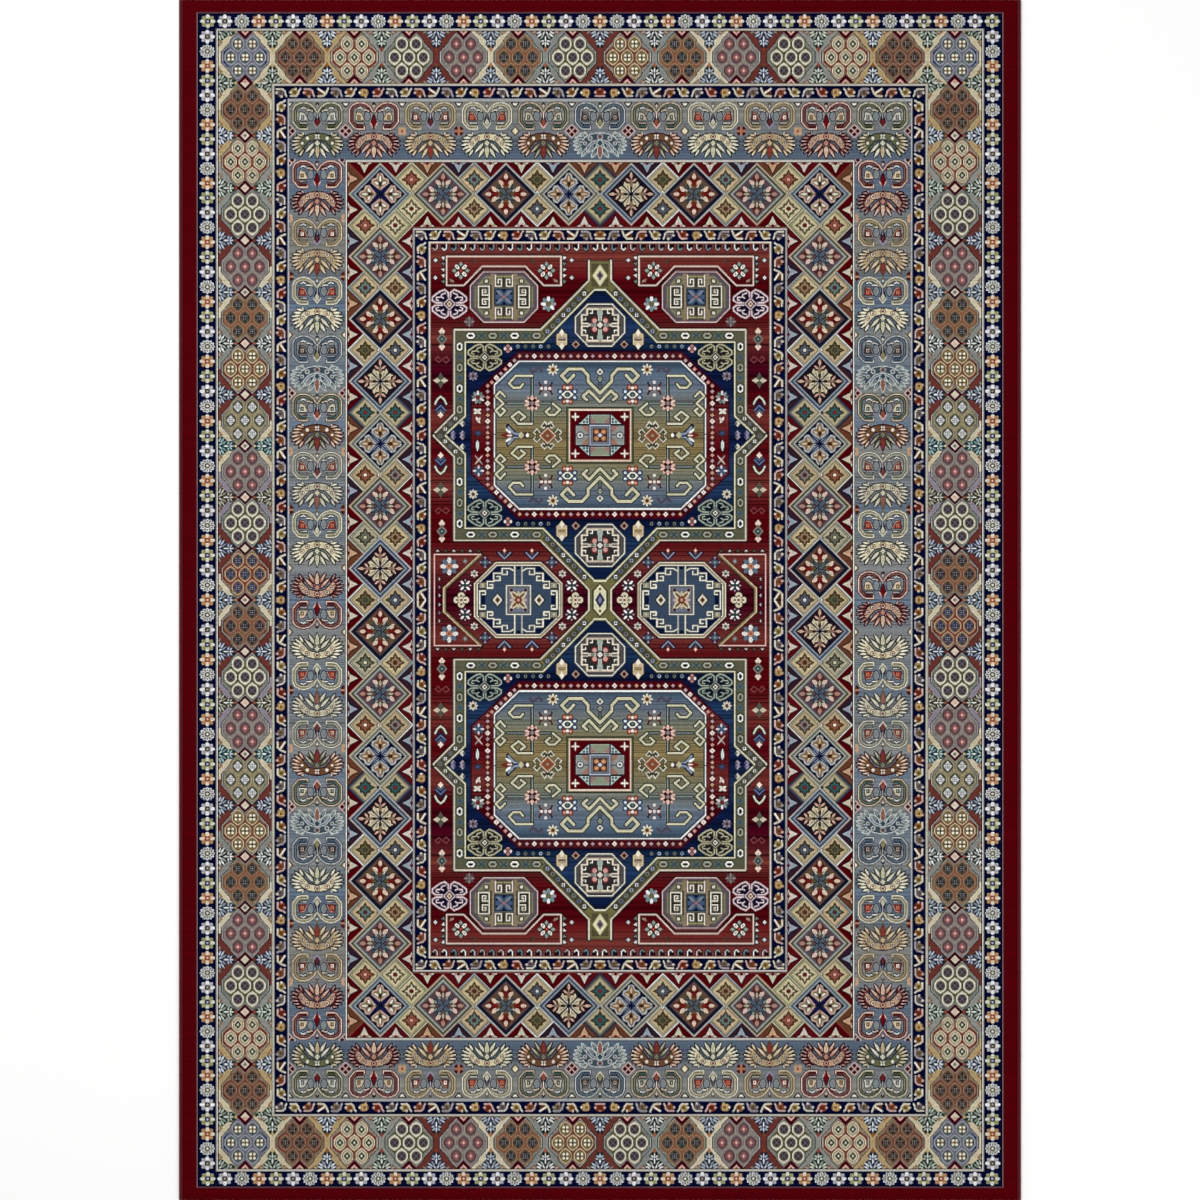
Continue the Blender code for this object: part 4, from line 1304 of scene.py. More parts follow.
def mid_octagon(pen, blue, deep):
    """The blue octagon on the rug's short axis; its lower half is drawn by the quarter below."""
    here = pen.at(81.6, 0)
    nested(here, (45.6, 39.2, 23.4, 17.2), (
        (0, (40, 10, 16)), (1.2, (206, 190, 168)), (2.6, (150, 140, 96)), (3.8, (206, 198, 176)),
        (5.2, deep)))
    inside = ((33.0, 0), (33.0, 10.4), (24.0, 20.0), (17.2, 29.6), (4.2, 33.0), (0, 30.0))
    here.poly([*inside, *((-x, y) for x, y in inside[-2::-1])], blue)
    for side in here.both():
        stepped_keys(side, (214, 206, 176))
        side.diamonds(20.8, 0, ((6.4, 7.4, INK), (5.2, 6.2, (214, 208, 180)), (2.4, 3.0, (88, 60, 40))))
        side.box(32.6, 12.0, 38.6, 17.2, (150, 146, 120), edge=(70, 72, 70), width=0.8)
        side.disc(35.6, 14.6, 1.6, (190, 184, 150))
    for half, high, colour in ((12.8, 15.0, (206, 202, 176)), (11.2, 13.6, (96, 96, 104)),
                               (9.8, 12.2, (112, 122, 142))):
        here.box(-half, 0, half, high, colour)
    for side in here.both():
        side.leaf(0, 0, 8.8, 9.8, 6.4, (214, 198, 160))
        side.leaf(0.6, 1.2, 6.6, 7.6, 2.4, (120, 84, 52))
        side.leaf(0, 0, 9.2, 0, 4.4, (206, 178, 168))
        side.disc(7.0, 9.8, 1.6, (80, 24, 26))
    here.leaf(0, 0, 0, 9.6, 3.6, (210, 190, 150))
    here.diamonds(0, 0, ((4.2, 4.6, (110, 54, 34)), (2.0, 2.2, (206, 150, 110))))


def side_panel(pen, claret):
    """The claret triangle in the corner between the two stars and the field's side."""
    outline = [(165.6, 0), (165.6, 45.6), (118.4, 45.6), (155.2, 11.6), (155.2, 0)]
    pen.poly(outline, claret)
    pen.line([(155.2, 0), (155.2, 11.6), (118.4, 45.6)], 4.4, (44, 24, 24))
    pen.line([(156.2, 0), (156.2, 11.8), (119.4, 46.0)], 1.6, (206, 176, 128))
    pen.line([(154.6, 0), (154.6, 11.2), (118.0, 45.0)], 1.3, (120, 116, 80))
    pen.line([(165.6, 0), (165.6, 45.6), (119.6, 45.6)], 1.7, (222, 172, 160))
    for k in range(6):
        tooth = pen.at(162.4 - 8.2 * k, 47.6)
        tooth.poly([(-4.0, -0.6), (0, 4.2), (4.0, -0.6)], (24, 24, 26))
        tooth.poly([(-2.2, 0.6), (0, 3.0), (2.2, 0.6)], (206, 206, 196) if k % 2 == 0 else (84, 84, 70))
    for k in range(4):
        tooth = pen.at(161.0, 21.0 - 8.2 * k)
        tooth.poly([(0.8, -3.6), (-3.0, 0), (0.8, 3.6)], (34, 28, 30))
        tooth.poly([(0.4, -2.2), (-2.0, 0), (0.4, 2.2)], (186, 182, 180) if k % 2 == 0 else (120, 120, 104))
    ring_flower(pen.at(150.6, 33.6), 9.0, ((226, 220, 210), (92, 116, 142)), (212, 130, 96),
                base=(24, 12, 24), eye=(160, 90, 60), fat=1.05)
    pen.diamonds(134.8, 38.8, ((3.2, 3.6, (104, 96, 90)), (1.6, 1.8, (150, 170, 160))))


def centre_figures(pen):
    """The flowers that climb on both sides of the blue octagon, from the short axis upwards."""
    for x in (138.6, 24.6):
        flower = pen.at(x, 0)
        petals = [flower.at(0, 0, turn=90 * k) for k in range(4)]
        for petal in petals:
            petal.disc(4.4, 0, 3.5, (216, 202, 168), edge=(46, 20, 24), width=0.7)
        flower.disc(0, 0, 3.4, (216, 202, 168))
        for petal in petals:
            petal.disc(4.0, 0, 1.1, (120, 104, 70))
        flower.disc(0, 0, 1.2, (90, 84, 60))
    for x in (134.8, 28.2):
        flower = pen.at(x, 14.6)
        flower.disc(0, 0, 6.0, (30, 14, 22))
        for k in range(4):
            flower.at(0, 0, turn=90 * k + 45).disc(4.0, 0, 2.4, (226, 224, 220), ry=1.3)
            flower.at(0, 0, turn=90 * k).diamond(5.2, 0, 1.4, 1.2, (176, 150, 160))
        flower.disc(0, 0, 1.4, (30, 90, 80))
    for x in (125.6, 37.6):
        ring_flower(pen.at(x, 26.2), 3.8, ((206, 196, 190),), (60, 110, 80), count=6, base=(50, 14, 22))
    for x in (114.8, 48.2):
        flower = pen.at(x, 37.6)
        flower.diamonds(0, 0, ((6.6, 6.6, (50, 24, 44)), (4.6, 4.6, (74, 84, 100))))
        for k in range(4):
            flower.at(0, 0, turn=90 * k).disc(4.6, 0, 1.1, (150, 150, 186))
        flower.disc(0, 0, 1.2, (120, 170, 170))
    for x in (95.4, 68.0):
        bud = pen.at(x, 43.6)
        bud.line([(-6.2, 3.6), (0, -2.0), (6.2, 3.6)], 4.2, (40, 20, 36))
        bud.line([(-5.8, 3.6), (0, -2.4), (5.8, 3.6)], 1.8, (126, 136, 168))
        bud.poly([(-2.0, 3.4), (0, 0.4), (2.0, 3.4)], (60, 90, 100))
        bud.diamond(0, 5.8, 1.8, 2.4, (236, 186, 150))


# the dyes that the grounds fade between
DEEP_RED, FADED_RED, WINE_RED = (84, 6, 14), (116, 50, 44), (64, 5, 24)
MIDNIGHT, DENIM = (12, 25, 60), (32, 56, 93)
DUSK, HAZE, SAGE, GILT = (68, 90, 111), (108, 121, 140), (130, 133, 114), (138, 119, 76)


def field_grounds(cloth):
    """The red, the blue and the cartouche's ground, as dyes that change along the rug."""
    claret = streaks(cloth, (
        (6, WINE_RED), (38, FADED_RED), (62, DEEP_RED), (86, DEEP_RED), (116, FADED_RED), (148, DEEP_RED),
        (184, FADED_RED), (202, DEEP_RED), (232, WINE_RED), (262, FADED_RED), (290, DEEP_RED),
        (318, DEEP_RED), (340, FADED_RED)), 21, 0.07, 0.07, 0.26)
    navy = streaks(cloth, (
        (20, MIDNIGHT), (56, DENIM), (72, MIDNIGHT), (90, MIDNIGHT), (106, DENIM), (136, DENIM),
        (160, MIDNIGHT), (186, DENIM), (212, MIDNIGHT), (242, MIDNIGHT), (264, DENIM),
        (308, MIDNIGHT)), 22, 0.07, 0.06, 0.24)
    slate = streaks(cloth, (
        (92, DUSK), (108, HAZE), (124, SAGE), (146, GILT), (170, GILT), (190, SAGE), (212, HAZE),
        (234, DUSK)), 23, 0.05, 0.05, 0.14)
    return claret, navy, slate


def middle_block(pen):
    """The small block in the very middle of the rug."""
    pen.box(0, 0, 9.6, 19.0, (112, 110, 66))
    pen.line([(0, 18.9), (5.8, 18.9)], 1.8, (206, 202, 164))
    pen.poly([(0, 17.6), (7.6, 9.4), (7.6, 0), (0, 0)], (60, 60, 44))
    pen.poly([(0, 15.8), (6.2, 8.8), (6.2, 0), (0, 0)], (222, 216, 172))
    pen.diamonds(0, 0, ((4.8, 7.8, (44, 42, 92)), (2.4, 4.2, (120, 130, 150))))
    pen.disc(0, 11.0, 1.4, (90, 90, 60))


def field(cloth, pen):
    claret, navy, slate = field_grounds(cloth)
    pen.box(0, 0, 169.2, 356.2, claret)
    pendants(pen)
    corner_panel(pen, claret)
    key_octagon(pen)
    horn_star(pen.at(150.5, 295.8), (214, 186, 188), (22, 20, 44), (206, 190, 160), (60, 8, 14))
    ring_flower(pen.at(51.4, 295.8), 7.6, ((232, 234, 232), (110, 150, 150), (150, 156, 164)),
                (120, 104, 70), base=(30, 16, 24))
    ring_flower(pen.at(130.6, 278.1), 5.2, ((140, 124, 124), (90, 84, 84)), (120, 110, 110),
                base=(54, 24, 26))
    upper_half = pen.at(0, MID)
    lower_half = pen.at(0, MID, sy=-1)
    for star in (upper_half, lower_half):
        strap(star, navy)
        red_band(star, claret)
        navy_figures(star, star is upper_half)
        little_octagon(star)
        cartouche(star, slate)
        side_figures(star)
    for star in (upper_half, lower_half):
        square(star, (84, 4, 14))
    cap(upper_half)
    ribbon_figures(pen)
    middle_block(pen)
    side_panel(pen, claret)
    mid_octagon(pen, (60, 76, 98), (10, 24, 58))
    centre_figures(pen)


# ---------------------------------------------------------------- from the quarter to the whole rug


def around(values):
    """Each knot's mean with its eight neighbours."""
    return sum(np.roll(values, (i, j), (0, 1)) for i in (-1, 0, 1) for j in (-1, 0, 1)) / 9


def settled(knots):
    """The colours as they look in the pile: dyes blend and go duller, while outlines stay crisp."""
    light = (knots * (0.3, 0.59, 0.11)).sum(-1, keepdims=True)
    tint = knots - light
    brightness = ((light - 45) / 110).clip(0, 1)
    crisp = light * (1 - 0.07 * brightness) + 0.25 * (light - 150).clip(0) + 0.55 * (light - around(light))
    return crisp.clip(0, 255) + (0.45 * tint + 0.55 * around(tint)) * (1 - 0.17 * brightness)


def quarter(turned):
    """The pattern's first quarter; turned is for the quarters whose figures next to the axes differ."""
    cloth = Cloth(0, 0, HALF_W, HALF_L)
    pen = Pen(cloth)
    borders(cloth, pen, turned)
    field(cloth, pen)
    return cloth.knots()


def whole_rug():
    """The pattern's colours, one for each knot, 0 to 255; half a turn leaves the rug the same."""
    upper = np.concatenate([quarter(False)[:, ::-1], quarter(True)], 1)
    return settled(np.concatenate([upper[::-1, ::-1], upper], 0))


def linear(colour):
    """Display values from 0 to 255 as scene-linear ones."""
    c = np.asarray(colour, float) / 255
    return np.where(c <= 0.04045, c / 12.92, ((np.maximum(c, 0) + 0.055) / 1.055) ** 2.4)


def woven_colours():
    """The pile's knots as scene-linear colours, with the small differences between yarns and rows."""
    rng = np.random.default_rng(19)
    knots = whole_rug()
    knots = knots[:, HALF_W - PILE_COLUMNS:HALF_W + PILE_COLUMNS]
    rows, columns = knots.shape[:2]
    yarn = 1 + rng.normal(0, 0.035, (rows, columns, 1))
    row = 1 + rng.normal(0, 0.025, (rows, 1, 1))
    return linear(knots.clip(0, 255) * yarn.clip(0.85, 1.15) * row.clip(0.92, 1.08))


# ---------------------------------------------------------------- sizes of the pieces, in metres

KNOT = (cad_high[1] - cad_low[1]) / (2 * HALF_L)
PILE_COLUMNS = 417
RIM_ROUND = 0.004  # how far in from the pile's edge its tufts lean out
RIM_DROP = 0.0026  # how much lower they end at the very edge
TUFT_UNEVENNESS = 0.00016
ROW_DRIFT = 0.00002
WRAP_STEPS = 6  # rings of points for each turn of the serging's yarn
SERGING_WALL = 0.0013
CLEARANCE = 0.0003
STITCH_PITCH = 0.0045
STITCH_LENGTH = 0.0036
TACK_PITCH = 0.0026
TACK_LENGTH = 0.0021
CORD_LAY = 0.018  # the cord's length for one full twist of its three strands

# ---------------------------------------------------------------- materials


def new_material(name, roughness, sheen=0.0, specular=0.1):
    made = bpy.data.materials.new(name)
    made.use_nodes = True
    tree = made.node_tree
    shader = tree.nodes["Principled BSDF"]
    shader.inputs["Roughness"].default_value = roughness
    shader.inputs["Specular IOR Level"].default_value = specular
    shader.inputs["Sheen Weight"].default_value = sheen
    shader.inputs["Sheen Roughness"].default_value = 0.5
    return made, tree, shader


def maths(tree, operation, *values):
    """A Math node of values or other nodes' outputs."""
    node = tree.nodes.new("ShaderNodeMath")
    node.operation = operation
    for socket, value in zip(node.inputs, values):
        if isinstance(value, bpy.types.NodeSocket):
            tree.links.new(value, socket)
        else:
            socket.default_value = value
    return node.outputs[0]


def place_in(tree):
    """The point in metres, and its x and y."""
    coordinates = tree.nodes.new("ShaderNodeTexCoord")
    split = tree.nodes.new("ShaderNodeSeparateXYZ")
    tree.links.new(coordinates.outputs["Object"], split.inputs[0])
    return coordinates.outputs["Object"], split.outputs[0], split.outputs[1]


def noise(tree, where, size, detail=2.0, stretch=(1, 1, 1)):
    """Blotches of about size metres, 0 to 1."""
    mapping = tree.nodes.new("ShaderNodeMapping")
    mapping.inputs["Scale"].default_value = [1 / (size * s) for s in stretch]
    tree.links.new(where, mapping.inputs["Vector"])
    node = tree.nodes.new("ShaderNodeTexNoise")
    node.inputs["Scale"].default_value = 1.0
    node.inputs["Detail"].default_value = detail
    tree.links.new(mapping.outputs[0], node.inputs["Vector"])
    return node.outputs["Fac"]


def shaded(tree, colour, light, low, high):
    """colour times a factor that follows light, a value from 0 to 1, from low to high."""
    factor = maths(tree, "MULTIPLY_ADD", light, high - low, low)
    scale = tree.nodes.new("ShaderNodeVectorMath")
    scale.operation = "SCALE"
    if isinstance(colour, bpy.types.NodeSocket):
        tree.links.new(colour, scale.inputs[0])
    else:
        scale.inputs[0].default_value = colour[:3]
    tree.links.new(factor, scale.inputs["Scale"])
    return scale.outputs[0]


def finish(tree, shader, colour, height, distance, strength):
    """Gives the shader its colour and a bump of a height from 0 to about 1 times distance."""
    tree.links.new(colour, shader.inputs["Base Color"])
    node = tree.nodes.new("ShaderNodeBump")
    node.inputs["Distance"].default_value = distance
    node.inputs["Strength"].default_value = strength
    tree.links.new(height, node.inputs["Height"])
    tree.links.new(node.outputs[0], shader.inputs["Normal"])


def ridge(tree, value, pitch, shift=0.0):
    """0 to 1 and back, once for each pitch."""
    turn = maths(tree, "MULTIPLY_ADD", value, math.pi / pitch, shift)
    return maths(tree, "ABSOLUTE", maths(tree, "SINE", turn))


def pile_yarn():
    """Wool-like tufts: each knot's own colour, flecked by fibres and darkened overall by painted shade of
    the tufts on each other, with dimples between the knots.
    """
    made, tree, shader = new_material("pile_yarn", 1.0, specular=0.0)
    where, x, y = place_in(tree)
    dye = tree.nodes.new("ShaderNodeAttribute")
    dye.attribute_name = "knot_colour"
    fleck_and_tuft_shade = noise(tree, where, 0.0016, detail=3.0)
    cloudy = noise(tree, where, 0.05)
    # painted shade: the flecks only darken, from 0.56 to 1.06 of the knot's colour, which stands in for the
    # tufts' shadows on each other
    colour = shaded(tree, dye.outputs["Color"], fleck_and_tuft_shade, 0.56, 1.06)
    colour = shaded(tree, colour, cloudy, 0.93, 1.07)
    tuft = maths(tree, "MULTIPLY", ridge(tree, x, KNOT), ridge(tree, y, KNOT))
    height = maths(tree, "MULTIPLY_ADD", fleck_and_tuft_shade, 0.6, tuft)
    finish(tree, shader, colour, height, 0.0006, 0.5)
    return made


def serging_yarn():
    made, tree, shader = new_material("serging_yarn", 0.9, sheen=0.2, specular=0.08)
    where, _, _ = place_in(tree)
    fibre = noise(tree, where, 0.0008, detail=3.0, stretch=(3, 0.5, 3))
    ply = noise(tree, where, 0.02)
    colour = shaded(tree, linear((84, 15, 22)), fibre, 0.6, 1.4)
    colour = shaded(tree, colour, ply, 0.9, 1.1)
    finish(tree, shader, colour, fibre, 0.0003, 0.6)
    return made


def jute():
    made, tree, shader = new_material("ground_yarn", 0.92, sheen=0.1, specular=0.1)
    where, _, y = place_in(tree)
    weft = ridge(tree, y, KNOT)
    slub = noise(tree, where, 0.003, detail=4.0, stretch=(8, 1, 1))
    colour = shaded(tree, linear((168, 142, 104)), slub, 0.6, 1.35)
    # painted shade: the colour darkens to 0.7 in the grooves between the weft rows, with a slight painted
    # highlight (1.05) on their crests
    colour = shaded(tree, colour, weft, 0.7, 1.05)
    finish(tree, shader, colour, maths(tree, "ADD", weft, slub), 0.0005, 0.7)
    return made


def latex():
    made, tree, shader = new_material("latex", 0.7, specular=0.3)
    where, _, _ = place_in(tree)
    pores = noise(tree, where, 0.0015, detail=4.0)
    smear = noise(tree, where, 0.03, detail=3.0, stretch=(4, 1, 1))
    colour = shaded(tree, linear((186, 178, 160)), smear, 0.82, 1.12)
    colour = shaded(tree, colour, pores, 0.88, 1.08)
    finish(tree, shader, colour, maths(tree, "ADD", pores, smear), 0.0004, 0.6)
    return made


def cord_polyester():
    made, tree, shader = new_material("cord_polyester", 0.6, sheen=0.1, specular=0.4)
    where, _, _ = place_in(tree)
    strand = noise(tree, where, 0.0006, detail=3.0, stretch=(1, 6, 1))
    colour = shaded(tree, linear((204, 198, 186)), strand, 0.75, 1.15)
    finish(tree, shader, colour, strand, 0.0002, 0.5)
    return made


def hem_tape():
    """Cotton tape in a herringbone weave, whose chevrons run along the tape; its colour carries painted
    shade in the grooves between the ribs.
    """
    made, tree, shader = new_material("hem_tape", 0.88, sheen=0.15, specular=0.1)
    where, x, y = place_in(tree)
    slant = maths(tree, "PINGPONG", y, 0.004)
    rib = ridge(tree, maths(tree, "ADD", x, slant), 0.0011)
    lint = noise(tree, where, 0.0006, detail=2.0)
    # painted shade: the colour darkens to 0.68 in the grooves between the ribs, with a slight painted
    # highlight (1.05) on their crests
    colour = shaded(tree, linear((178, 160, 132)), rib, 0.68, 1.05)
    colour = shaded(tree, colour, lint, 0.85, 1.12)
    finish(tree, shader, colour, maths(tree, "MULTIPLY_ADD", lint, 0.3, rib), 0.0003, 0.7)
    return made


def thread(name, colour):
    made, tree, shader = new_material(name, 0.55, sheen=0.1, specular=0.4)
    _, x, y = place_in(tree)
    twist = ridge(tree, maths(tree, "ADD", x, y), 0.0005)
    # painted shade and highlight: the colour darkens to 0.7 in the grooves of the twist and lightens to
    # 1.15 on its crests
    finish(tree, shader, shaded(tree, linear(colour), twist, 0.7, 1.15), twist, 0.0001, 0.6)
    return made


def label_fabric():
    """Satin ribbon, blank, with painted shade between its threads."""
    made, tree, shader = new_material("label_fabric", 0.45, sheen=0.2, specular=0.4)
    _, x, y = place_in(tree)
    warp = ridge(tree, x, 0.0004)
    weft = ridge(tree, y, 0.0007)
    weave = maths(tree, "MULTIPLY", warp, weft)
    # painted shade: the colour darkens to 0.86 where the warp and weft dip between the threads, and lifts
    # slightly (1.03) on their crests
    finish(tree, shader, shaded(tree, linear((232, 229, 220)), weave, 0.86, 1.03), weave, 0.0001, 0.5)
    return made


# ---------------------------------------------------------------- meshes


def show(name, mesh, surface, slot, *nodes):
    """Puts a piece in the scene in the place of its CAD nodes."""
    obj = bpy.data.objects.new(name, mesh)
    bpy.context.scene.collection.objects.link(obj)
    mesh.materials.append(surface)
    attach(obj, "root")
    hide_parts(*nodes)
    return obj


def mesh_of(name, points, quads):
    """A smooth mesh of points and four-cornered faces, without the points that no face uses."""
    used, quads = np.unique(quads, return_inverse=True)
    points = points[used]
    quads = quads.reshape(-1, 4)
    mesh = bpy.data.meshes.new(name)
    mesh.vertices.add(len(points))
    mesh.vertices.foreach_set("co", points.astype(np.float32).ravel())
    mesh.loops.add(quads.size)
    mesh.loops.foreach_set("vertex_index", quads.astype(np.int32).ravel())
    mesh.polygons.add(len(quads))
    mesh.polygons.foreach_set("loop_start", np.arange(0, quads.size, 4, dtype=np.int32))
    mesh.polygons.foreach_set("use_smooth", np.full(len(quads), True))
    mesh.update(calc_edges=True)
    return mesh


def grid_quads(ids):
    """The faces between the points of a grid, whose ids are given row by row."""
    return np.stack([ids[:-1, :-1], ids[:-1, 1:], ids[1:, 1:], ids[1:, :-1]], -1)


def corner_welds(ids, depth):
    """Joins the two skirts that meet at each corner of a grid whose outer rings hang down."""
    rows, columns = ids.shape
    for row, row_step in ((depth, -1), (rows - 1 - depth, 1)):
        for column, column_step in ((depth, -1), (columns - 1 - depth, 1)):
            for k in range(1, depth + 1):
                ids[row + k * row_step, column] = ids[row, column + k * column_step]


def pad(low, high, columns, rows, top, rings):
    """Points and faces of a slab's upper side with its edges turned down.

    top(x, y) gives the upper side's height, and rings are (how far in, z) steps down the edge.
    """
    depth = len(rings)
    xs = np.linspace(low[0], high[0], columns + 1)
    ys = np.linspace(low[1], high[1], rows + 1)
    xs = np.concatenate([[xs[0]] * depth, xs, [xs[-1]] * depth])
    ys = np.concatenate([[ys[0]] * depth, ys, [ys[-1]] * depth])
    x, y = np.meshgrid(xs, ys)
    z = top(x, y)
    row, column = np.indices(x.shape)
    across = np.maximum(depth - column, column - columns - depth)
    along = np.maximum(depth - row, row - rows - depth)
    for k, (inset, level) in enumerate(rings, 1):
        x = np.where(across == k, np.where(column < depth, low[0] + inset, high[0] - inset), x)
        y = np.where(along == k, np.where(row < depth, low[1] + inset, high[1] - inset), y)
        z = np.where(np.maximum(across, along) == k, level, z)
    ids = np.arange(x.size).reshape(x.shape)
    corner_welds(ids, depth)
    quads = grid_quads(ids)
    row, column = np.indices(quads.shape[:2])
    outside_row = (row < depth) | (row >= rows + depth)
    outside_column = (column < depth) | (column >= columns + depth)
    keep = ~(outside_row & outside_column)
    return np.stack([x, y, z], -1).reshape(-1, 3), quads[keep], keep


def knots_to_faces(colours, depth, keep):
    """The knots' colours, carried out over the turned-down edges."""
    wide = np.pad(colours, ((depth, depth), (depth, depth), (0, 0)), mode="edge")
    return wide[keep]


def make_pile():
    """The cut pile: a face for each knot, its top a little uneven, its rim brushed down."""
    low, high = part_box("pile")
    rng = np.random.default_rng(7)
    columns = 2 * PILE_COLUMNS
    rows = 2 * HALF_L
    rings = ((-0.0002, low[2] + 0.0042), (0.0002, low[2]))
    turned_down = 2 * len(rings)
    lie = np.cumsum(rng.normal(0, 1, rows + 1 + turned_down)) * ROW_DRIFT
    tufts = rng.normal(0, TUFT_UNEVENNESS, (rows + 1 + turned_down, columns + 1 + turned_down))

    def top(x, y):
        from_edge = np.minimum(np.minimum(x - low[0], high[0] - x), np.minimum(y - low[1], high[1] - y))
        brushed = np.clip(1 - from_edge / RIM_ROUND, 0, 1) ** 2 * RIM_DROP
        swell = 0.00035 * np.sin(x * 9.1 + 0.7) * np.sin(y * 7.3) + np.clip(lie, -0.0004, 0.0004)[:, None]
        return high[2] - 0.0007 - brushed + swell + tufts

    points, quads, keep = pad(low, high, columns, rows, top, rings)
    mesh = mesh_of("pile_surface", points, quads)
    faces = knots_to_faces(woven_colours(), len(rings), keep)
    paint = mesh.attributes.new("knot_colour", "FLOAT_COLOR", "FACE")
    rgba = np.ones((len(faces), 4), np.float32)
    rgba[:, :3] = faces
    paint.data.foreach_set("color", rgba.ravel())
    return show("pile_surface", mesh, pile_yarn(), "pile_yarn", "pile")


def make_ground():
    """The ground weave: its warp ends show as a row of bumps below the pile at the cut ends."""
    low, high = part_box("ground_weave")

    def top(x, y):
        return high[2] - 0.00015 + 0.00015 * np.cos(2 * math.pi * x / KNOT)

    rings = ((-0.0001, (low[2] + high[2]) / 2), (0.0, low[2]))
    columns = int((high[0] - low[0]) / KNOT * 4)
    points, quads, _ = pad(low, high, columns, 40, top, rings)
    return show("ground_weave_cloth", mesh_of("ground_weave_cloth", points, quads), jute(), "ground_yarn",
                "ground_weave")


def make_backcoat():
    """The latex coat, thin, with the weft's ribs on its underside and a hollow that the label lies in."""
    low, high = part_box("latex_backcoat")
    label_low, label_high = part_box("care_label")
    rng = np.random.default_rng(11)
    columns, rows = 200, 560
    rings = ((0.0, high[2]),)
    turned_down = 2 * len(rings)
    wander = rng.normal(0, 0.00005, (rows + 1 + turned_down, columns + 1 + turned_down))

    def underside(x, y):
        ribs = low[2] + 0.0001 + 0.0001 * np.sin(y * 2 * math.pi / (4 * KNOT)) + wander
        beside = np.maximum(label_low[0] - x, x - label_high[0]) > (high[0] - low[0]) / columns
        beyond = np.maximum(label_low[1] - y, y - label_high[1]) > (high[1] - low[1]) / rows
        return np.where(beside | beyond, ribs, label_high[2] + CLEARANCE)

    points, quads, _ = pad(low, high, columns, rows, underside, rings)
    points[:, 2] = np.maximum(points[:, 2], low[2])
    mesh = mesh_of("backcoat_skin", points, quads[:, ::-1])
    return show("backcoat_skin", mesh, latex(), "latex", "latex_backcoat")


def swept(name, rings):
    """A closed tube with capped ends; rings are given as (ring, point, 3)."""
    count, sides = rings.shape[:2]
    ids = np.arange(count * sides).reshape(count, sides)
    ids = np.concatenate([ids, ids[:, :1]], 1)
    mesh = mesh_of(name, rings.reshape(-1, 3), grid_quads(ids))
    shape = bmesh.new()
    shape.from_mesh(mesh)
    bmesh.ops.holes_fill(shape, edges=[e for e in shape.edges if e.is_boundary], sides=0)
    bmesh.ops.recalc_face_normals(shape, faces=shape.faces)
    shape.to_mesh(mesh)
    shape.free()
    return mesh


def arc(centre, radius, start, stop, steps):
    """Points on an ellipse as (across, up), from one angle in degrees to another."""
    angles = np.radians(np.linspace(start, stop, steps + 1))
    return [(centre[0] + radius[0] * math.cos(a), centre[1] + radius[1] * math.sin(a)) for a in angles]


def serging_section(node, cord):
    """The sleeve's section, as (in from the edge, up): its outer points, then the slot and the seat."""
    low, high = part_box(node)
    wide, half = high[0] - low[0], (high[2] - low[2]) / 2
    ground_low, ground_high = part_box("ground_weave")
    slot_low, slot_high = ground_low[2] - CLEARANCE, ground_high[2] + CLEARANCE
    cord_low, cord_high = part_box(cord)
    radius = (cord_high[2] - cord_low[2]) / 2
    seat = (SERGING_WALL + CLEARANCE + radius, (cord_low[2] + cord_high[2]) / 2)
    reach = radius + CLEARANCE
    roof = math.degrees(math.asin((slot_high - seat[1]) / reach))
    outer = [(wide, half + 0.55 * half), (0.82 * wide, 2 * half)]
    outer += arc((wide / 2, half), (wide / 2, half), 80, 280, 14)
    outer += [(0.82 * wide, 0), (wide, 0.0004)]
    mouth = seat[0] + reach * math.cos(math.radians(roof))
    inner = [(wide, slot_low), (mouth, slot_low)]
    inner += arc(seat, (reach, reach), -75, roof - 360, 10)
    inner += [(wide, slot_high)]
    return outer, inner


def make_serging(side):
    """Yarn wrapped over the edge, one wrap to a knot, as a sleeve open towards the rug."""
    hand = "left" if side < 0 else "right"
    node = f"side_serging_{hand}"
    low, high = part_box(node)
    edge = low[0] if side < 0 else high[0]
    count = int(round((high[1] - low[1]) / KNOT))
    y = np.linspace(low[1], high[1], count * WRAP_STEPS + 1)
    wrap = (y - low[1]) / KNOT
    rng = np.random.default_rng(3 if side < 0 else 4)
    slack = np.interp(wrap, np.arange(count + 1), np.abs(rng.normal(0, 0.00007, count + 1)))
    outer, inner = serging_section(node, f"selvedge_cord_{hand}")
    middle = ((high[0] - low[0]) / 2, (high[2] - low[2]) / 2)
    rings = []
    for k, (across, up) in enumerate(outer):
        lean = 0.9 * k / len(outer)
        rib = np.abs(np.sin(math.pi * (wrap + lean))) ** 0.6
        shrink = (0.00042 * (1 - rib) + slack) / middle[1]
        x = across + (middle[0] - across) * shrink
        z = up + (middle[1] - up) * shrink
        rings.append(np.stack([edge - side * x, y, z], -1))
    for across, up in inner:
        rings.append(np.stack([edge - side * (across + 0 * y), y, up + 0 * y], -1))
    name = f"serging_wraps_{hand}"
    return show(name, swept(name, np.stack(rings, 1)), serging_yarn(), "serging_yarn", node)


def make_cord(side):
    """A three-strand twisted cord in the serging."""
    node = f"selvedge_cord_{'left' if side < 0 else 'right'}"
    low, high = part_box(node)
    middle = [(a + b) / 2 for a, b in zip(low, high)]
    radius = (high[2] - low[2]) / 2
    steps = int((high[1] - low[1]) / 0.0016)
    y = np.linspace(low[1], high[1], steps + 1)[:, None]
    turn = np.linspace(0, 2 * math.pi, 15)[None, :-1]
    lobe = radius * (0.9 + 0.1 * np.cos(3 * (turn - y * 2 * math.pi / CORD_LAY)))
    x = middle[0] + lobe * np.cos(turn)
    z = middle[2] + lobe * np.sin(turn)
    rings = np.stack([x, y + 0 * x, z], -1)
    name = f"twisted_cord_{'left' if side < 0 else 'right'}"
    return show(name, swept(name, rings), cord_polyester(), "cord_polyester", node)


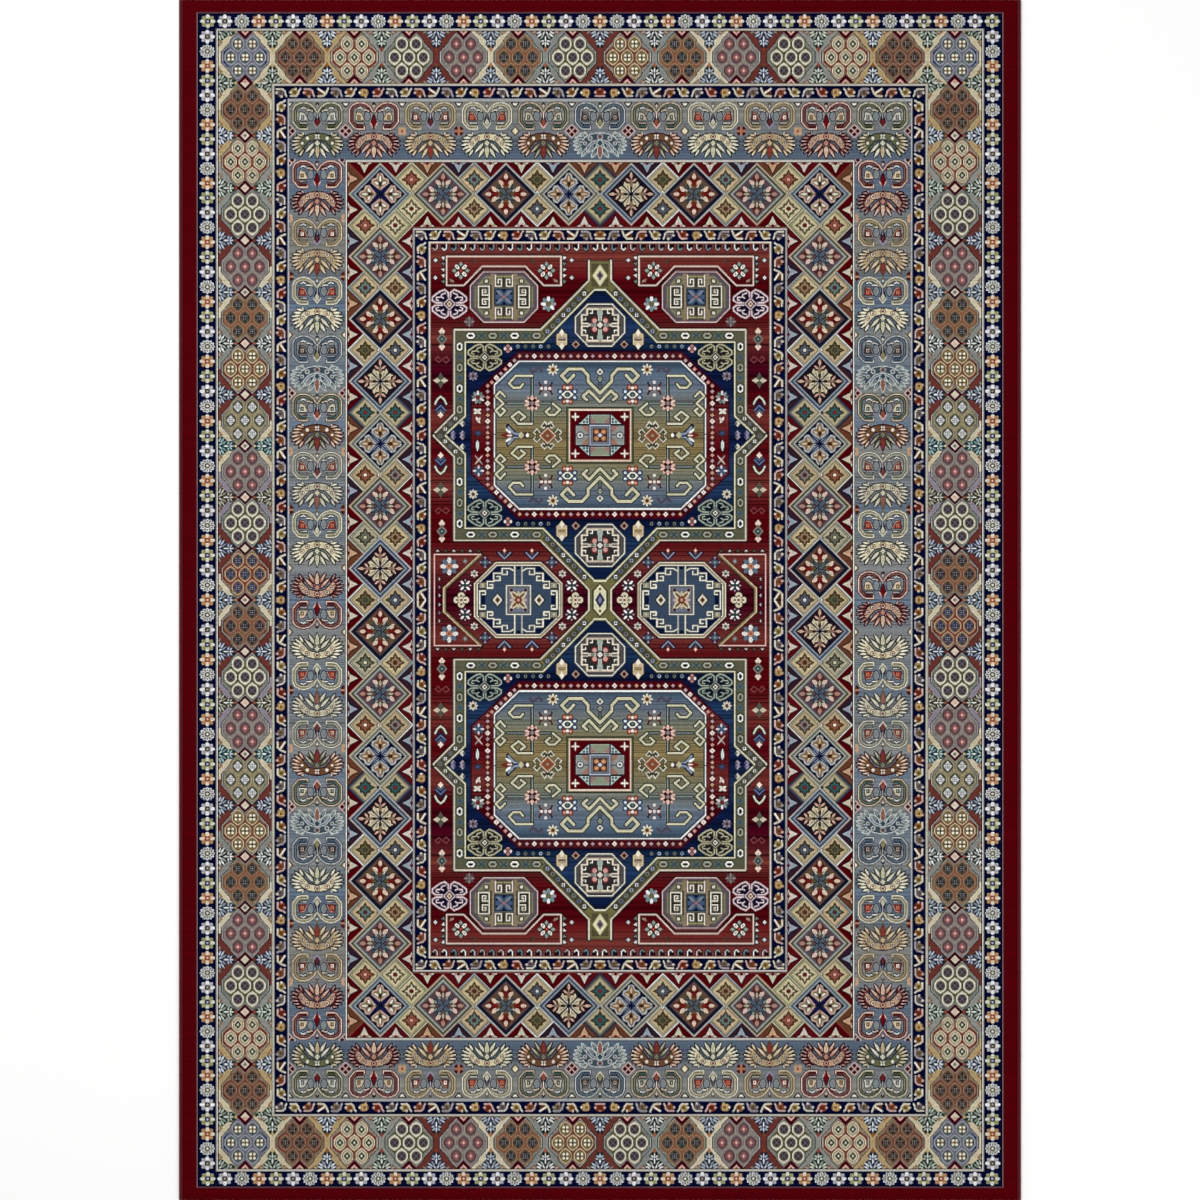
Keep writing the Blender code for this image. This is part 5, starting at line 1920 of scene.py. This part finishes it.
def make_tape(end):
    """Woven tape on the back, its upper and lower sides a hair apart, with firm selvedges."""
    node = f"hem_tape_{end}"
    low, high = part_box(node)
    columns, rows = 1180, 20

    def underside(x, y):
        from_edge = np.minimum(y - low[1], high[1] - y)
        selvedge = 0.00008 * (from_edge < 0.003)
        return low[2] + 0.00012 - selvedge + 0.00008 * np.sin(x * math.pi / 0.0011)

    points, quads, _ = pad(low, high, columns, rows, underside, ((0.0, high[2]),))
    return show(f"woven_tape_{end}", mesh_of(f"woven_tape_{end}", points, quads[:, ::-1]), hem_tape(),
                "hem_tape", node)


def stitches(name, low, high, along, pitch, length):
    """A row of stitches: each a thread that rises from one hole and dives in the next."""
    start, stop = low[along], high[along]
    count = int((stop - start) / pitch)
    spare = (stop - start - count * pitch) / 2
    half_wide = min(high[k] - low[k] for k in (0, 1)) / 2
    thick = high[2] - low[2]
    middle = [(a + b) / 2 for a, b in zip(low, high)]
    steps, sides = 7, 8
    t = np.linspace(0, 1, steps)[:, None]
    turn = np.linspace(0, 2 * math.pi, sides + 1)[None, :-1]
    swell = np.sqrt(np.clip(1 - (2 * t - 1) ** 4, 0.02, 1))
    travel = (t - 0.5) * length + 0 * turn
    across = half_wide * swell * np.cos(turn)
    up = thick / 2 * swell * np.sin(turn)
    centres = start + spare + (np.arange(count) + 0.5) * pitch
    one = np.stack([across, travel, up] if along else [travel, across, up], -1)
    shift = np.zeros((count, 1, 1, 3))
    shift[..., 2] = middle[2]
    shift[..., 1 - along] = middle[1 - along]
    shift[:, 0, 0, along] = centres
    points = (one[None] + shift).reshape(-1, 3)
    ids = np.arange(steps * sides).reshape(steps, sides)
    ids = np.concatenate([ids, ids[:, :1]], 1)
    quads = grid_quads(ids).reshape(-1, 4)
    ends = [[0, 1, 2, 3], [0, 3, 4, 5], [0, 5, 6, 7]]
    last = (steps - 1) * sides
    quads = np.concatenate([quads, np.array(ends)[:, ::-1], np.array(ends) + last])
    every = (quads[None] + (np.arange(count) * steps * sides)[:, None, None]).reshape(-1, 4)
    return mesh_of(name, points, every)


def make_stitching():
    """The two rows of stitches in each hem tape."""
    made = []
    for end in ("near", "far"):
        for row in ("inner", "outer"):
            node = f"hem_stitch_{end}_{row}"
            low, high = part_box(node)
            mesh = stitches(f"lockstitch_{end}_{row}", low, high, 0, STITCH_PITCH, STITCH_LENGTH)
            made.append(show(mesh.name, mesh, thread(f"hem_thread_{end}_{row}", (124, 96, 70)),
                             "hem_thread", node))
    return made


def make_label():
    """The blank label, which hangs a little wavy from the stitch that tacks it."""
    low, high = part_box("care_label")

    def underside(x, y):
        return low[2] + 0.00008 * (1 + np.sin(x * 160) * np.sin(y * 130))

    points, quads, _ = pad(low, high, 60, 40, underside, ((0.0, high[2]),))
    label = show("label_ribbon", mesh_of("label_ribbon", points, quads[:, ::-1]), label_fabric(),
                 "label_fabric", "care_label")
    low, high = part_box("care_label_tack")
    along = 0 if high[0] - low[0] > high[1] - low[1] else 1
    mesh = stitches("label_tack_thread", low, high, along, TACK_PITCH, TACK_LENGTH)
    tack = show("label_tack_thread", mesh, thread("label_thread", (206, 200, 190)), "label_thread",
                "care_label_tack")
    return label, tack


# ---------------------------------------------------------------- the studio


def make_floor():
    """A plain pale floor, a hair below the rug."""
    mesh = bpy.data.meshes.new("floor")
    reach = 40.0
    corners = [(-reach, -reach, 0), (reach, -reach, 0), (reach, reach, 0), (-reach, reach, 0)]
    mesh.from_pydata(corners, [], [(0, 1, 2, 3)])
    floor = bpy.data.objects.new("floor", mesh)
    bpy.context.scene.collection.objects.link(floor)
    floor.location.z = -0.0004
    made, tree, shader = new_material("floor_paint", 0.9, specular=0.1)
    where, _, _ = place_in(tree)
    tree.links.new(shaded(tree, (0.93, 0.93, 0.925), noise(tree, where, 1.5), 0.985, 1.015),
                   shader.inputs["Base Color"])
    mesh.materials.append(made)


def make_lights():
    """Two large soft lamps and a pale sky."""
    world = bpy.data.worlds.new("studio")
    world.use_nodes = True
    world.node_tree.nodes["Background"].inputs["Color"].default_value = (1.0, 1.0, 1.0, 1.0)
    world.node_tree.nodes["Background"].inputs["Strength"].default_value = 0.56
    bpy.context.scene.world = world
    for name, place, size, power in (("key", (-3.2, 3.0, 6.5), 4.0, 290.0),
                                     ("fill", (3.6, -2.6, 6.0), 4.5, 150.0)):
        lamp = bpy.data.lights.new(name, "AREA")
        lamp.shape = "DISK"
        lamp.size = size
        lamp.energy = power
        obj = bpy.data.objects.new(name, lamp)
        obj.location = place
        obj.rotation_euler = (-Vector(place)).to_track_quat("-Z", "Y").to_euler()
        bpy.context.scene.collection.objects.link(obj)


def make_camera():
    """Straight above the rug, whose length just overfills the picture from top to bottom."""
    lens = bpy.data.cameras.new("camera")
    lens.sensor_width = 36
    lens.lens = 120
    lens.clip_end = 100
    camera = bpy.data.objects.new("camera", lens)
    distance = 0.999 * (cad_high[1] - cad_low[1]) * lens.lens / lens.sensor_width
    camera.location = (0, 0, cad_high[2] + distance)
    bpy.context.scene.collection.objects.link(camera)
    bpy.context.scene.camera = camera


def build():
    make_camera()
    pile = make_pile()
    ground = make_ground()
    backcoat = make_backcoat()
    sides = [make_serging(-1), make_serging(1)]
    cords = [make_cord(-1), make_cord(1)]
    tapes = [make_tape("near"), make_tape("far")]
    threads = make_stitching()
    label, tack = make_label()
    make_floor()
    make_lights()
    bpy.context.scene.view_settings.view_transform = "Standard"


build()
bpy.context.view_layer.update()
